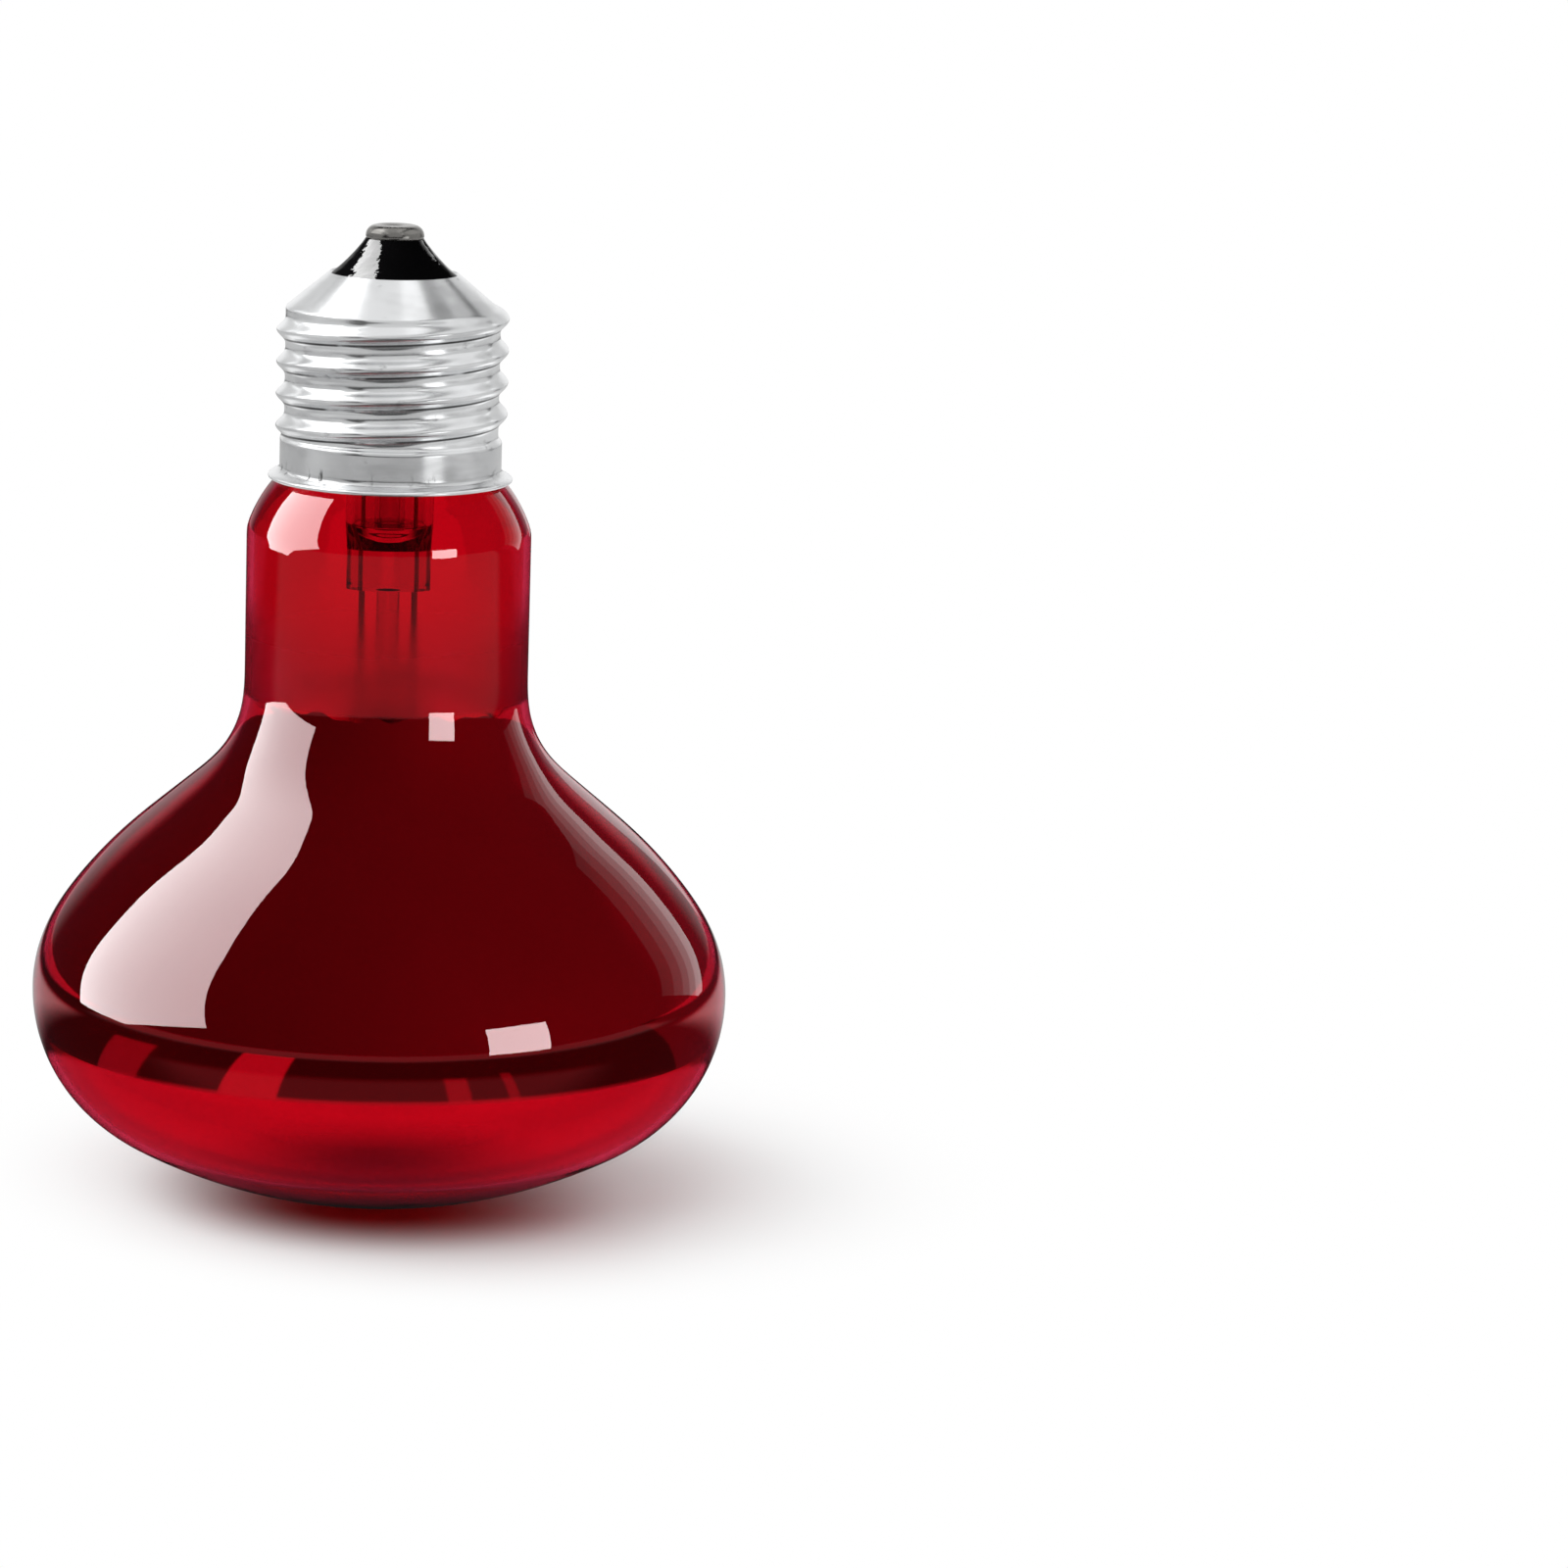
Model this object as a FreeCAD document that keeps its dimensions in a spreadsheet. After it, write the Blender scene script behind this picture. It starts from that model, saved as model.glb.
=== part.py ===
import FreeCAD, Part
import math
import operator
import os
from collections import namedtuple

import Sketcher
from FreeCAD import Placement, Rotation, Vector

# Infrared heat lamp bulb: a red glass reflector bulb that stands on its face, with a
# screw cap on top. Heights run up the bulb's axis from the middle of the face.

SIZES = {
    # glass bulb
    "bulb_diameter": 80.0,
    "face_radius": 62.0,
    "rim_front_radius": 18.5,
    "rim_back_radius": 17.0,
    "rim_back_angle": 35.0,
    "flank_radius": 52.0,
    "flank_angle": 50.0,
    "shoulder_radius": 12.5,
    "neck_diameter": 32.4,
    "neck_length": 17.9,
    "neck_corner_radius": 4.0,
    "neck_corner_angle": 20.0,
    "neck_top_radius": 16.0,
    "tuck_radius": 2.0,
    "collar_diameter": 21.8,
    "collar_length": 4.5,
    "seal_radius": 2.5,
    "glass_wall": 0.8,
    # mirror film on the inside of the bowl
    "mirror_below_equator": 4.0,
    "mirror_thickness": 0.1,
    # screw cap shell
    "rim_clearance": 0.6,
    "rim_diameter": 27.9,
    "rim_height": 1.4,
    "skirt_diameter": 25.2,
    "skirt_height": 3.1,
    "skirt_step": 0.5,
    "core_diameter": 24.3,
    "core_length": 14.5,
    "cone_height": 4.0,
    "cone_top_diameter": 14.7,
    "shell_wall": 0.3,
    # knuckle thread rolled into the shell
    "thread_diameter": 26.3,
    "thread_pitch": 3.629,
    "thread_turns": 3.75,
    "crest_width": 0.6,
    "knuckle_width": 1.5,
    "knuckle_drop": 0.5,
    "ridge_width": 2.7,
    "ridge_sink": 0.06,
    # black glass insulator and centre contact
    "insulator_depth": 1.6,
    "insulator_height": 3.9,
    "insulator_hollow_radius": 22.0,
    "lead_hole_diameter": 1.6,
    "contact_diameter": 6.6,
    "contact_height": 1.5,
    "contact_edge_radius": 0.9,
    "plate_diameter": 5.6,
    "plate_thickness": 0.3,
    # basing cement
    "cement_height": 4.0,
    # side contact, soldered on the cone behind
    "side_contact_radius": 10.2,
    "side_hole_diameter": 0.9,
    "solder_diameter": 2.8,
    "solder_height": 0.8,
    # glass stem
    "stem_diameter": 10.0,
    "stem_wall": 0.9,
    "flare_radius": 2.0,
    "stem_length": 15.0,
    "press_shoulder": 3.0,
    "press_width": 9.6,
    "press_thickness": 4.2,
    "press_length": 4.6,
    "exhaust_diameter": 3.4,
    "exhaust_wall": 0.6,
    "exhaust_length": 19.0,
    # glass rod with its button
    "rod_diameter": 2.6,
    "rod_length": 17.0,
    "button_diameter": 4.6,
    "button_height": 3.6,
    "button_edge_radius": 1.1,
    # wires
    "lead_spacing": 6.0,
    "seal_wire_diameter": 0.5,
    "outer_lead_diameter": 0.5,
    "inner_lead_diameter": 0.7,
    "support_diameter": 0.4,
    "lead_bend_radius": 2.0,
    "support_bend_radius": 1.0,
    "outer_lead_rise": 3.0,
    "inner_lead_drop": 14.0,
    "support_reach": 1.8,
    "hook_clearance": 0.05,
    "hook_angle": 240.0,
    # filament
    "filament_radius": 9.5,
    "filament_diameter": 1.2,
    "filament_drop": 28.0,
    "filament_angle": 196.0,
}
SUPPORT_ANGLES = (-45.0, -90.0, -135.0)
FRONT = -90.0


class Size:
    """A size as a number together with the sheet expression that it comes from."""

    def __init__(self, text, value):
        self.text = text
        self.value = value

    def join(self, other, mark, work, swapped=False):
        other = other if isinstance(other, Size) else Size(str(other), other)
        first, second = (other, self) if swapped else (self, other)
        return Size(f"({first.text} {mark} {second.text})", work(first.value, second.value))

    def __add__(self, other):
        return self.join(other, "+", operator.add)

    def __sub__(self, other):
        return self.join(other, "-", operator.sub)

    def __rsub__(self, other):
        return self.join(other, "-", operator.sub, swapped=True)

    def __mul__(self, other):
        return self.join(other, "*", operator.mul)

    def __truediv__(self, other):
        return self.join(other, "/", operator.truediv)

    def __neg__(self):
        return Size(f"(-{self.text})", -self.value)


def hypotenuse(across, along):
    text = f"sqrt({across.text} ^ 2 + {along.text} ^ 2)"
    return Size(text, math.hypot(across.value, along.value))


def other_leg(longest, leg):
    text = f"sqrt({longest.text} ^ 2 - {leg.text} ^ 2)"
    return Size(text, math.sqrt(longest.value ** 2 - leg.value ** 2))


def sine_of(angle):
    return Size(f"sin({angle.text})", sine(angle.value))


def cosine_of(angle):
    return Size(f"cos({angle.text})", cosine(angle.value))


def larger(first, second):
    return Size(f"max({first.text}; {second.text})", max(first.value, second.value))


ZERO = Size("0", 0.0)
Edge = namedtuple("Edge", "index first last")
Corner = namedtuple("Corner", "across up radius bulge", defaults=(None, 0))
Arc = namedtuple("Arc", "centre radius start end bulge")
Line = namedtuple("Line", "start end normal")

doc = FreeCAD.newDocument("heat_lamp_bulb")
sheet = doc.addObject("Spreadsheet::Sheet", "sizes")
for row, (name, number) in enumerate(SIZES.items(), start=1):
    sheet.set(f"A{row}", name)
    sheet.set(f"B{row}", str(number))
    sheet.setAlias(f"B{row}", name)
doc.recompute()


def size(name):
    return Size(f"sizes.{name}", SIZES[name])


def half(name):
    return size(name) / 2


class Profile:
    """A sketch on one of a body's own planes, with constraints bound to the sheet."""

    def __init__(self, body, name, plane="XZ_Plane", height=None):
        self.sketch = body.newObject("Sketcher::SketchObject", name)
        support = next(f for f in body.Origin.OriginFeatures if f.Role == plane)
        self.sketch.AttachmentSupport = [(support, "")]
        self.sketch.MapMode = "FlatFace"
        if height is not None:
            self.sketch.setExpression("AttachmentOffset.Base.z", height.text)

    def bridge(self, index, point, other_index, other_point):
        """Close a gap between two points with a straight edge."""
        start = self.sketch.getPoint(index, point)
        end = self.sketch.getPoint(other_index, other_point)
        edge = self.line(start, end)
        self.fix("Coincident", edge.index, edge.first, index, point)
        self.fix("Coincident", edge.index, edge.last, other_index, other_point)

    def line(self, start, end, construction=False):
        segment = Part.LineSegment(Vector(*start), Vector(*end))
        return Edge(self.sketch.addGeometry(segment, construction), 1, 2)

    def arc(self, centre, radius, start, end, construction=False):
        low, high = sorted((math.radians(start), math.radians(end)))
        circle = Part.Circle(Vector(*centre), Vector(0, 0, 1), radius)
        index = self.sketch.addGeometry(Part.ArcOfCircle(circle, low, high), construction)
        return Edge(index, 1, 2) if end > start else Edge(index, 2, 1)

    def circle(self, across, up, radius):
        place = Vector(across.value, up.value)
        circle = Part.Circle(place, Vector(0, 0, 1), radius.value)
        index = self.sketch.addGeometry(circle)
        self.place(index, 3, across, up)
        self.bind(radius, "Radius", index)
        return index

    def fix(self, kind, *ends):
        return self.sketch.addConstraint(Sketcher.Constraint(kind, *ends))

    def bind(self, measure, kind, *ends):
        value = math.radians(measure.value) if kind == "Angle" else measure.value
        index = self.sketch.addConstraint(Sketcher.Constraint(kind, *ends, value))
        self.sketch.setExpression(f"Constraints[{index}]", measure.text)

    def place(self, index, point, across=None, up=None):
        """Hold a point at a distance from the sketch's axes."""
        for measure, kind, axis in ((across, "DistanceX", -2), (up, "DistanceY", -1)):
            if measure is None:
                continue
            if measure.value == 0:
                self.fix("PointOnObject", index, point, axis)
            elif measure.value > 0:
                self.bind(measure, kind, -1, 1, index, point)
            else:
                self.bind(-measure, kind, index, point, -1, 1)

    def meet(self, edge, following):
        self.fix("Coincident", edge.index, edge.last, following.index, following.first)

    def flow(self, edge, following):
        """Join two edges end to end with no corner between them."""
        self.fix("Tangent", edge.index, edge.last, following.index, following.first)

    def measure(self, name, index, point):
        """Read a height off the solved sketch, for other pieces to follow."""
        here = self.sketch.getPoint(index, point)
        number = self.sketch.addConstraint(Sketcher.Constraint("DistanceY", -1, 1, index, point, here.y))
        self.sketch.setDriving(number, False)
        self.sketch.renameConstraint(number, name)
        return Size(f"({self.sketch.Name}.Constraints.{name} / (1 mm))", here.y)

    def outline(self, corners):
        """Close a loop through corners; a corner with a radius starts an arc to the next one."""
        edges = []
        for corner, after in zip(corners, corners[1:] + corners[:1]):
            start = (corner.across.value, corner.up.value)
            end = (after.across.value, after.up.value)
            if corner.radius is None:
                edges.append(self.line(start, end))
                continue
            chord = math.dist(start, end)
            reach = math.sqrt(corner.radius.value ** 2 - chord ** 2 / 4)
            side = [-(end[1] - start[1]) / chord, (end[0] - start[0]) / chord]
            centre = [(a + b) / 2 + corner.bulge * reach * s for a, b, s in zip(start, end, side)]
            angles = [math.degrees(math.atan2(y - centre[1], x - centre[0])) for x, y in (start, end)]
            turn = (angles[1] - angles[0]) % 360 if corner.bulge > 0 else -((angles[0] - angles[1]) % 360)
            edges.append(self.arc(centre, corner.radius.value, angles[0], angles[0] + turn))
            self.bind(corner.radius, "Radius", edges[-1].index)
        for edge, after, corner in zip(edges, edges[1:] + edges[:1], corners[1:] + corners[:1]):
            self.meet(edge, after)
            self.place(after.index, after.first, corner.across, corner.up)


def new_body(label, height=None, turn=0.0):
    body = doc.addObject("PartDesign::Body", label)
    body.Label = label
    body.Placement = Placement(Vector(), Rotation(Vector(0, 0, 1), turn))
    if height is not None:
        body.setExpression("Placement.Base.z", height.text)
    return body


def revolve(body, profile, angle=None):
    feature = body.newObject("PartDesign::Revolution", f"{body.Name}_revolution")
    feature.Profile = profile.sketch
    feature.ReferenceAxis = (profile.sketch, ["V_Axis"])
    feature.Angle = 360.0
    if angle is not None:
        feature.setExpression("Angle", angle.text)
        feature.Midplane = True
    return feature


def lathe(label, corners, height=None):
    body = new_body(label, height)
    profile = Profile(body, f"{label}_outline")
    profile.outline([Corner(*corner) for corner in corners])
    revolve(body, profile)
    return body


def wire(label, route, bend, diameter, height, turn=0.0, hook=None):
    """A round wire along straight runs with tangent bends; a hook closes round the filament."""
    body = new_body(label, height, turn)
    path = Profile(body, f"{label}_path")
    points = [(across.value, up.value) for across, up in route]
    cuts = [0.0] + [bend_reach(*points[i - 1:i + 2], bend.value) for i in range(1, len(points) - 1)]
    if hook:
        points.append(hook_touch(points[-1], hook))
        cuts.append(bend_reach(*points[-3:], bend.value))
    cuts.append(0.0)
    runs = []
    for start, end, cut, next_cut in zip(points, points[1:], cuts, cuts[1:]):
        share = Vector(*end) - Vector(*start)
        share.normalize()
        runs.append(path.line(Vector(*start) + share * cut, Vector(*end) - share * next_cut))
    for run, after, corner, target in zip(runs, runs[1:], points[1:], route[1:]):
        join_runs(path, run, after, corner, target, bend)
    path.place(runs[0].index, 1, *route[0])
    if hook:
        add_hook(path, runs[-1], hook)
    else:
        path.place(runs[-1].index, 2, *route[-1])
    section = body.newObject("Sketcher::SketchObject", f"{label}_section")
    section.AttachmentSupport = [(path.sketch, "Edge1")]
    section.MapMode = "NormalToEdge"
    circle = section.addGeometry(Part.Circle(Vector(), Vector(0, 0, 1), diameter.value / 2))
    section.addConstraint(Sketcher.Constraint("Coincident", circle, 3, -1, 1))
    section.addConstraint(Sketcher.Constraint("Diameter", circle, diameter.value))
    section.setExpression("Constraints[1]", diameter.text)
    pipe = body.newObject("PartDesign::AdditivePipe", f"{label}_pipe")
    pipe.Profile = section
    pipe.Spine = (path.sketch, [])
    return body


def bend_reach(before, corner, after, radius):
    """How far a tangent bend of this radius starts from its corner."""
    first = Vector(*before) - Vector(*corner)
    second = Vector(*after) - Vector(*corner)
    return radius / math.tan(first.getAngle(second) / 2)


def join_runs(path, run, after, corner, target, bend):
    start = path.sketch.getPoint(run.index, 2)
    end = path.sketch.getPoint(after.index, 1)
    along = start - Vector(*corner)
    across = end - Vector(*corner)
    inward = along + across
    inward.normalize()
    centre = Vector(*corner) + inward * math.hypot(along.Length, bend.value)
    angles = [math.degrees(math.atan2(p.y - centre.y, p.x - centre.x)) for p in (start, end)]
    turn = (angles[1] - angles[0] + 180) % 360 - 180
    arc = path.arc(centre, bend.value, angles[0], angles[0] + turn)
    path.flow(run, arc)
    path.flow(arc, after)
    path.bind(bend, "Radius", arc.index)
    knot = path.sketch.addGeometry(Part.Point(Vector(*corner)), True)
    path.place(knot, 1, *target)
    path.fix("PointOnObject", knot, 1, run.index)
    path.fix("PointOnObject", knot, 1, after.index)


def hook_touch(start, hook):
    """Where a straight run from start touches the hook's circle on its outer side."""
    to_centre = Vector(hook.across.value, hook.up.value) - Vector(*start)
    radius = hook.radius.value
    lean = math.asin(radius / to_centre.Length)
    heading = math.atan2(to_centre.y, to_centre.x) + lean
    run = math.sqrt(to_centre.Length ** 2 - radius ** 2)
    return start[0] + run * math.cos(heading), start[1] + run * math.sin(heading)


def add_hook(path, run, hook):
    centre = Vector(hook.across.value, hook.up.value)
    touch = path.sketch.getPoint(run.index, 2) - centre
    start = math.degrees(math.atan2(touch.y, touch.x))
    arc = path.arc(centre, hook.radius.value, start, start - SIZES["hook_angle"])
    path.flow(run, arc)
    path.place(arc.index, 3, hook.across, hook.up)
    path.bind(hook.radius, "Radius", arc.index)
    path.bind(size("hook_angle"), "Angle", arc.index)


# The bulb's wall runs from the middle of the face out over the rim, up the flank and the
# neck, under the cap and in to the seal. Arcs with bulge 1 curve outwards, -1 inwards.
def bulb_wall():
    s = SIZES
    widest = s["bulb_diameter"] / 2
    neck = s["neck_diameter"] / 2
    collar = s["collar_diameter"] / 2
    back, flank = s["rim_back_angle"], s["flank_angle"]
    front_x = widest - s["rim_front_radius"]
    front_angle = -math.degrees(math.acos(front_x / (s["face_radius"] - s["rim_front_radius"])))
    equator = s["face_radius"] + (s["face_radius"] - s["rim_front_radius"]) * sine(front_angle)
    rim_centre = Vector(widest - s["rim_back_radius"], equator)
    flank_centre = rim_centre + polar(s["rim_back_radius"] - s["flank_radius"], back)
    slope_start = flank_centre + polar(s["flank_radius"], flank)
    shoulder_x = neck + s["shoulder_radius"]
    slope_x = shoulder_x - s["shoulder_radius"] * cosine(flank)
    slope_end = slope_start + polar((slope_start.x - slope_x) / sine(flank), flank + 90)
    shoulder = slope_end + polar(s["shoulder_radius"], flank)
    neck_end = shoulder.y + s["neck_length"]
    corner = s["neck_corner_angle"]
    corner_centre = Vector(neck - s["neck_corner_radius"], neck_end)
    top_centre = corner_centre + polar(s["neck_corner_radius"] - s["neck_top_radius"], corner)
    bends = s["neck_top_radius"] + s["tuck_radius"]
    tuck = math.degrees(math.acos((collar + s["tuck_radius"] - top_centre.x) / bends))
    collar_start = top_centre.y + bends * sine(tuck)
    collar_end = collar_start + s["collar_length"]
    return {
        "face": Arc((0, s["face_radius"]), s["face_radius"], -90, front_angle, 1),
        "rim_front": Arc((front_x, equator), s["rim_front_radius"], front_angle, 0, 1),
        "rim_back": Arc(rim_centre, s["rim_back_radius"], 0, back, 1),
        "flank": Arc(flank_centre, s["flank_radius"], back, flank, 1),
        "slope": Line(slope_start, slope_end, polar(1, flank)),
        "shoulder": Arc(shoulder, s["shoulder_radius"], 180 + flank, 180, -1),
        "neck": Line(Vector(neck, shoulder.y), Vector(neck, neck_end), Vector(1, 0)),
        "neck_corner": Arc(corner_centre, s["neck_corner_radius"], 0, corner, 1),
        "neck_top": Arc(top_centre, s["neck_top_radius"], corner, tuck, 1),
        "tuck": Arc((collar + s["tuck_radius"], collar_start), s["tuck_radius"], 180 + tuck, 180, -1),
        "collar": Line(Vector(collar, collar_start), Vector(collar, collar_end), Vector(1, 0)),
        "seal": Arc((collar - s["seal_radius"], collar_end), s["seal_radius"], 0, 90, 1),
    }


def sine(degrees):
    return math.sin(math.radians(degrees))


def cosine(degrees):
    return math.cos(math.radians(degrees))


def polar(length, degrees):
    return Vector(length * cosine(degrees), length * sine(degrees))


def draw_wall(profile, names, inset=0.0, construction=False):
    """Draw the named stretches of the bulb's wall, moved inwards by inset, joined smoothly."""
    wall = bulb_wall()
    edges = {}
    for name in names:
        part = wall[name]
        if isinstance(part, Line):
            shift = part.normal * inset
            edges[name] = profile.line(part.start - shift, part.end - shift, construction)
        else:
            radius = part.radius - part.bulge * inset
            edges[name] = profile.arc(part.centre, radius, part.start, part.end, construction)
    for name, after in zip(names, names[1:]):
        profile.flow(edges[name], edges[after])
    return edges


BOWL = ["face", "rim_front", "rim_back", "flank", "slope", "shoulder", "neck"]
WALL = BOWL + ["neck_corner", "neck_top", "tuck", "collar", "seal"]


def drive_wall(profile, edges):
    """Tie the outside of the wall to the sheet."""
    face, front, neck = edges["face"], edges["rim_front"], edges["neck"]
    profile.fix("Coincident", face.index, face.first, -1, 1)
    profile.fix("PointOnObject", face.index, 3, -2)
    for name, edge in edges.items():
        if f"{name}_radius" in SIZES:
            profile.bind(size(f"{name}_radius"), "Radius", edge.index)
    profile.fix("Horizontal", front.index, 3, front.index, front.last)
    profile.place(front.index, front.last, half("bulb_diameter"))
    profile.bind(size("rim_back_angle"), "Angle", edges["rim_back"].index)
    profile.bind(size("flank_angle") + 90, "Angle", edges["slope"].index)
    profile.fix("Vertical", neck.index)
    profile.place(neck.index, neck.first, half("neck_diameter"))
    profile.bind(size("neck_length"), "DistanceY", neck.index, 1, neck.index, 2)
    if "collar" in edges:
        collar, seal = edges["collar"], edges["seal"]
        profile.bind(size("neck_corner_angle"), "Angle", edges["neck_corner"].index)
        profile.fix("Vertical", collar.index)
        profile.place(collar.index, collar.first, half("collar_diameter"))
        profile.bind(size("collar_length"), "DistanceY", collar.index, 1, collar.index, 2)
        profile.fix("Vertical", seal.index, 3, seal.index, seal.last)


def follow_wall(profile, edges, outer, inset):
    """Keep a second line of the wall at an even distance inside the outer one."""
    wall = bulb_wall()
    after_line = True
    for name, edge in edges.items():
        if isinstance(wall[name], Line):
            after_line = True
            continue
        profile.fix("Coincident", edge.index, 3, outer[name].index, 3)
        if after_line:
            radius = size(f"{name}_radius")
            radius = radius - inset if wall[name].bulge > 0 else radius + inset
            profile.bind(radius, "Radius", edge.index)
        after_line = False


def glass_envelope():
    body = new_body("glass_envelope")
    profile = Profile(body, "envelope_outline")
    outside = draw_wall(profile, WALL)
    drive_wall(profile, outside)
    inside = draw_wall(profile, WALL, SIZES["glass_wall"])
    follow_wall(profile, inside, outside, size("glass_wall"))
    face, seal = inside["face"], inside["seal"]
    profile.fix("PointOnObject", face.index, face.first, -2)
    profile.fix("Vertical", seal.index, 3, seal.index, seal.last)
    profile.bridge(face.index, face.first, outside["face"].index, outside["face"].first)
    profile.bridge(seal.index, seal.last, outside["seal"].index, outside["seal"].last)
    revolve(body, profile)
    heights = {
        "neck_end": profile.measure("neck_end", outside["neck"].index, 2),
        "collar_start": profile.measure("collar_start", outside["collar"].index, 1),
        "seal_top": profile.measure("seal_top", outside["seal"].index, outside["seal"].last),
    }
    return body, heights


def mirror_coating():
    body = new_body("mirror_coating")
    profile = Profile(body, "mirror_outline")
    guide = draw_wall(profile, BOWL, construction=True)
    drive_wall(profile, guide)
    outer_inset = size("glass_wall")
    ends = []
    for inset in (outer_inset, outer_inset + size("mirror_thickness")):
        film = draw_wall(profile, BOWL[1:6], inset.value)
        follow_wall(profile, film, guide, inset)
        front, shoulder = film["rim_front"], film["shoulder"]
        edge = (front.index, front.first)
        profile.bind(size("mirror_below_equator"), "DistanceY", *edge, front.index, 3)
        profile.fix("Horizontal", shoulder.index, 3, shoulder.index, shoulder.last)
        ends.append((edge, (shoulder.index, shoulder.last)))
    for outer_end, inner_end in zip(*ends):
        profile.bridge(*outer_end, *inner_end)
    revolve(body, profile)
    return body


# Heights in the cap run up from its rim.
skirt_top = size("rim_height") + size("skirt_height")
core_bottom = skirt_top + size("skirt_step")
core_top = core_bottom + size("core_length")
lip = core_top + size("cone_height")
insulator_top = lip + size("insulator_height")
core_inside = half("core_diameter") - size("shell_wall")
cone_run = half("core_diameter") - half("cone_top_diameter")
cone_slant = hypotenuse(cone_run, size("cone_height"))
cone_offset = size("shell_wall") * cone_slant / size("cone_height")


def inner_height(height, run, rise):
    """Height of the sheet's inner corner where a slanted stretch meets an upright one."""
    offset = size("shell_wall") * hypotenuse(run, rise) / rise
    return height + (size("shell_wall") - offset) * rise / run


rim, skirt, core = half("rim_diameter"), half("skirt_diameter"), half("core_diameter")
flare_run, step_run = rim - skirt, skirt - core
flare_offset = size("shell_wall") * hypotenuse(flare_run, size("rim_height")) / size("rim_height")
rim_inside = rim - flare_offset
skirt_inside = skirt - size("shell_wall")
skirt_bottom = inner_height(size("rim_height"), flare_run, size("rim_height"))


def cap_lift():
    """How far the rim stands above the neck's straight part, where the glass clears the sheet."""
    corner, neck_top = size("neck_corner_radius"), size("neck_top_radius")
    angle, between = size("neck_corner_angle"), neck_top - corner
    centre = half("neck_diameter") - corner - between * cosine_of(angle)
    reach = centre + size("rim_clearance")
    at_rim = other_leg(neck_top, rim_inside - reach)
    at_skirt = other_leg(neck_top, skirt_inside - reach) - skirt_bottom
    return larger(at_rim, at_skirt) - between * sine_of(angle)


def cap_shell(height):
    corners = [
        (rim, ZERO),
        (skirt, size("rim_height")),
        (skirt, skirt_top),
        (core, core_bottom),
        (core, core_top),
        (half("cone_top_diameter"), lip),
        (half("cone_top_diameter") - cone_offset, lip),
        (core_inside, inner_height(core_top, cone_run, size("cone_height"))),
        (core_inside, inner_height(core_bottom, step_run, size("skirt_step"))),
        (skirt_inside, inner_height(skirt_top, step_run, size("skirt_step"))),
        (skirt_inside, skirt_bottom),
        (rim_inside, ZERO),
    ]
    body = lathe("cap_shell", corners, height)
    thread(body, "PartDesign::AdditiveHelix", "thread_ridge", ZERO)
    thread(body, "PartDesign::SubtractiveHelix", "thread_groove", size("shell_wall"))
    side_hole(body)
    return body


def thread(body, feature_type, name, inset):
    """Carry the knuckle section round the shell; the start lies behind, on +Y."""
    crest = half("thread_diameter") - inset
    knuckle = crest - size("knuckle_drop")
    foot = core - inset - size("ridge_sink")
    corners = [
        (foot, core_bottom - half("ridge_width")),
        (knuckle, core_bottom - half("knuckle_width")),
        (crest, core_bottom - half("crest_width")),
        (crest, core_bottom + half("crest_width")),
        (knuckle, core_bottom + half("knuckle_width")),
        (foot, core_bottom + half("ridge_width")),
    ]
    profile = Profile(body, f"{name}_section", plane="YZ_Plane")
    profile.outline([Corner(*corner) for corner in corners])
    doc.recompute()
    helix = body.newObject(feature_type, name)
    helix.Profile = profile.sketch
    helix.ReferenceAxis = (profile.sketch, ["V_Axis"])
    helix.Mode = "pitch-turns-angle"
    helix.setExpression("Pitch", "sizes.thread_pitch")
    helix.setExpression("Turns", "sizes.thread_turns")
    body.Tip = helix


def side_hole(body):
    profile = Profile(body, "side_hole_outline", plane="XY_Plane")
    profile.circle(ZERO, size("side_contact_radius"), half("side_hole_diameter"))
    hole = body.newObject("PartDesign::Pocket", "side_hole")
    hole.Profile = profile.sketch
    hole.Type = "ThroughAll"
    hole.Midplane = True
    body.Tip = hole


def cap_insulator(height):
    """Black glass: it fills the cone of the shell and stands up to the contact as a flared cone."""
    bottom = lip - size("insulator_depth")
    hole = half("lead_hole_diameter")
    mouth = half("cone_top_diameter") - cone_offset
    seat = mouth + size("insulator_depth") * cone_run / size("cone_height")
    corners = [
        (hole, bottom),
        (seat, bottom),
        (mouth, lip, size("insulator_hollow_radius"), -1),
        (half("contact_diameter"), insulator_top),
        (hole, insulator_top),
    ]
    return lathe("cap_insulator", corners, height)


def contact_plate(height):
    plate, hole = half("plate_diameter"), half("outer_lead_diameter")
    bottom = insulator_top
    top = bottom + size("plate_thickness")
    corners = [(hole, bottom), (plate, bottom), (plate, top), (hole, top)]
    return lathe("contact_plate", corners, height)


def contact_solder(height):
    plate, button = half("plate_diameter"), half("contact_diameter")
    under = insulator_top + size("plate_thickness")
    top = insulator_top + size("contact_height")
    edge = size("contact_edge_radius")
    corners = [
        (ZERO, under),
        (plate, under),
        (plate, insulator_top),
        (button, insulator_top),
        (button, top - edge, edge, 1),
        (button - edge, top),
        (ZERO, top),
    ]
    return lathe("contact_solder", corners, height)


def cap_cement(height, start):
    inner, outer = half("collar_diameter"), core_inside
    top = start + size("cement_height")
    return lathe("cap_cement", [(inner, start), (outer, start), (outer, top), (inner, top)], height)


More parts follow.
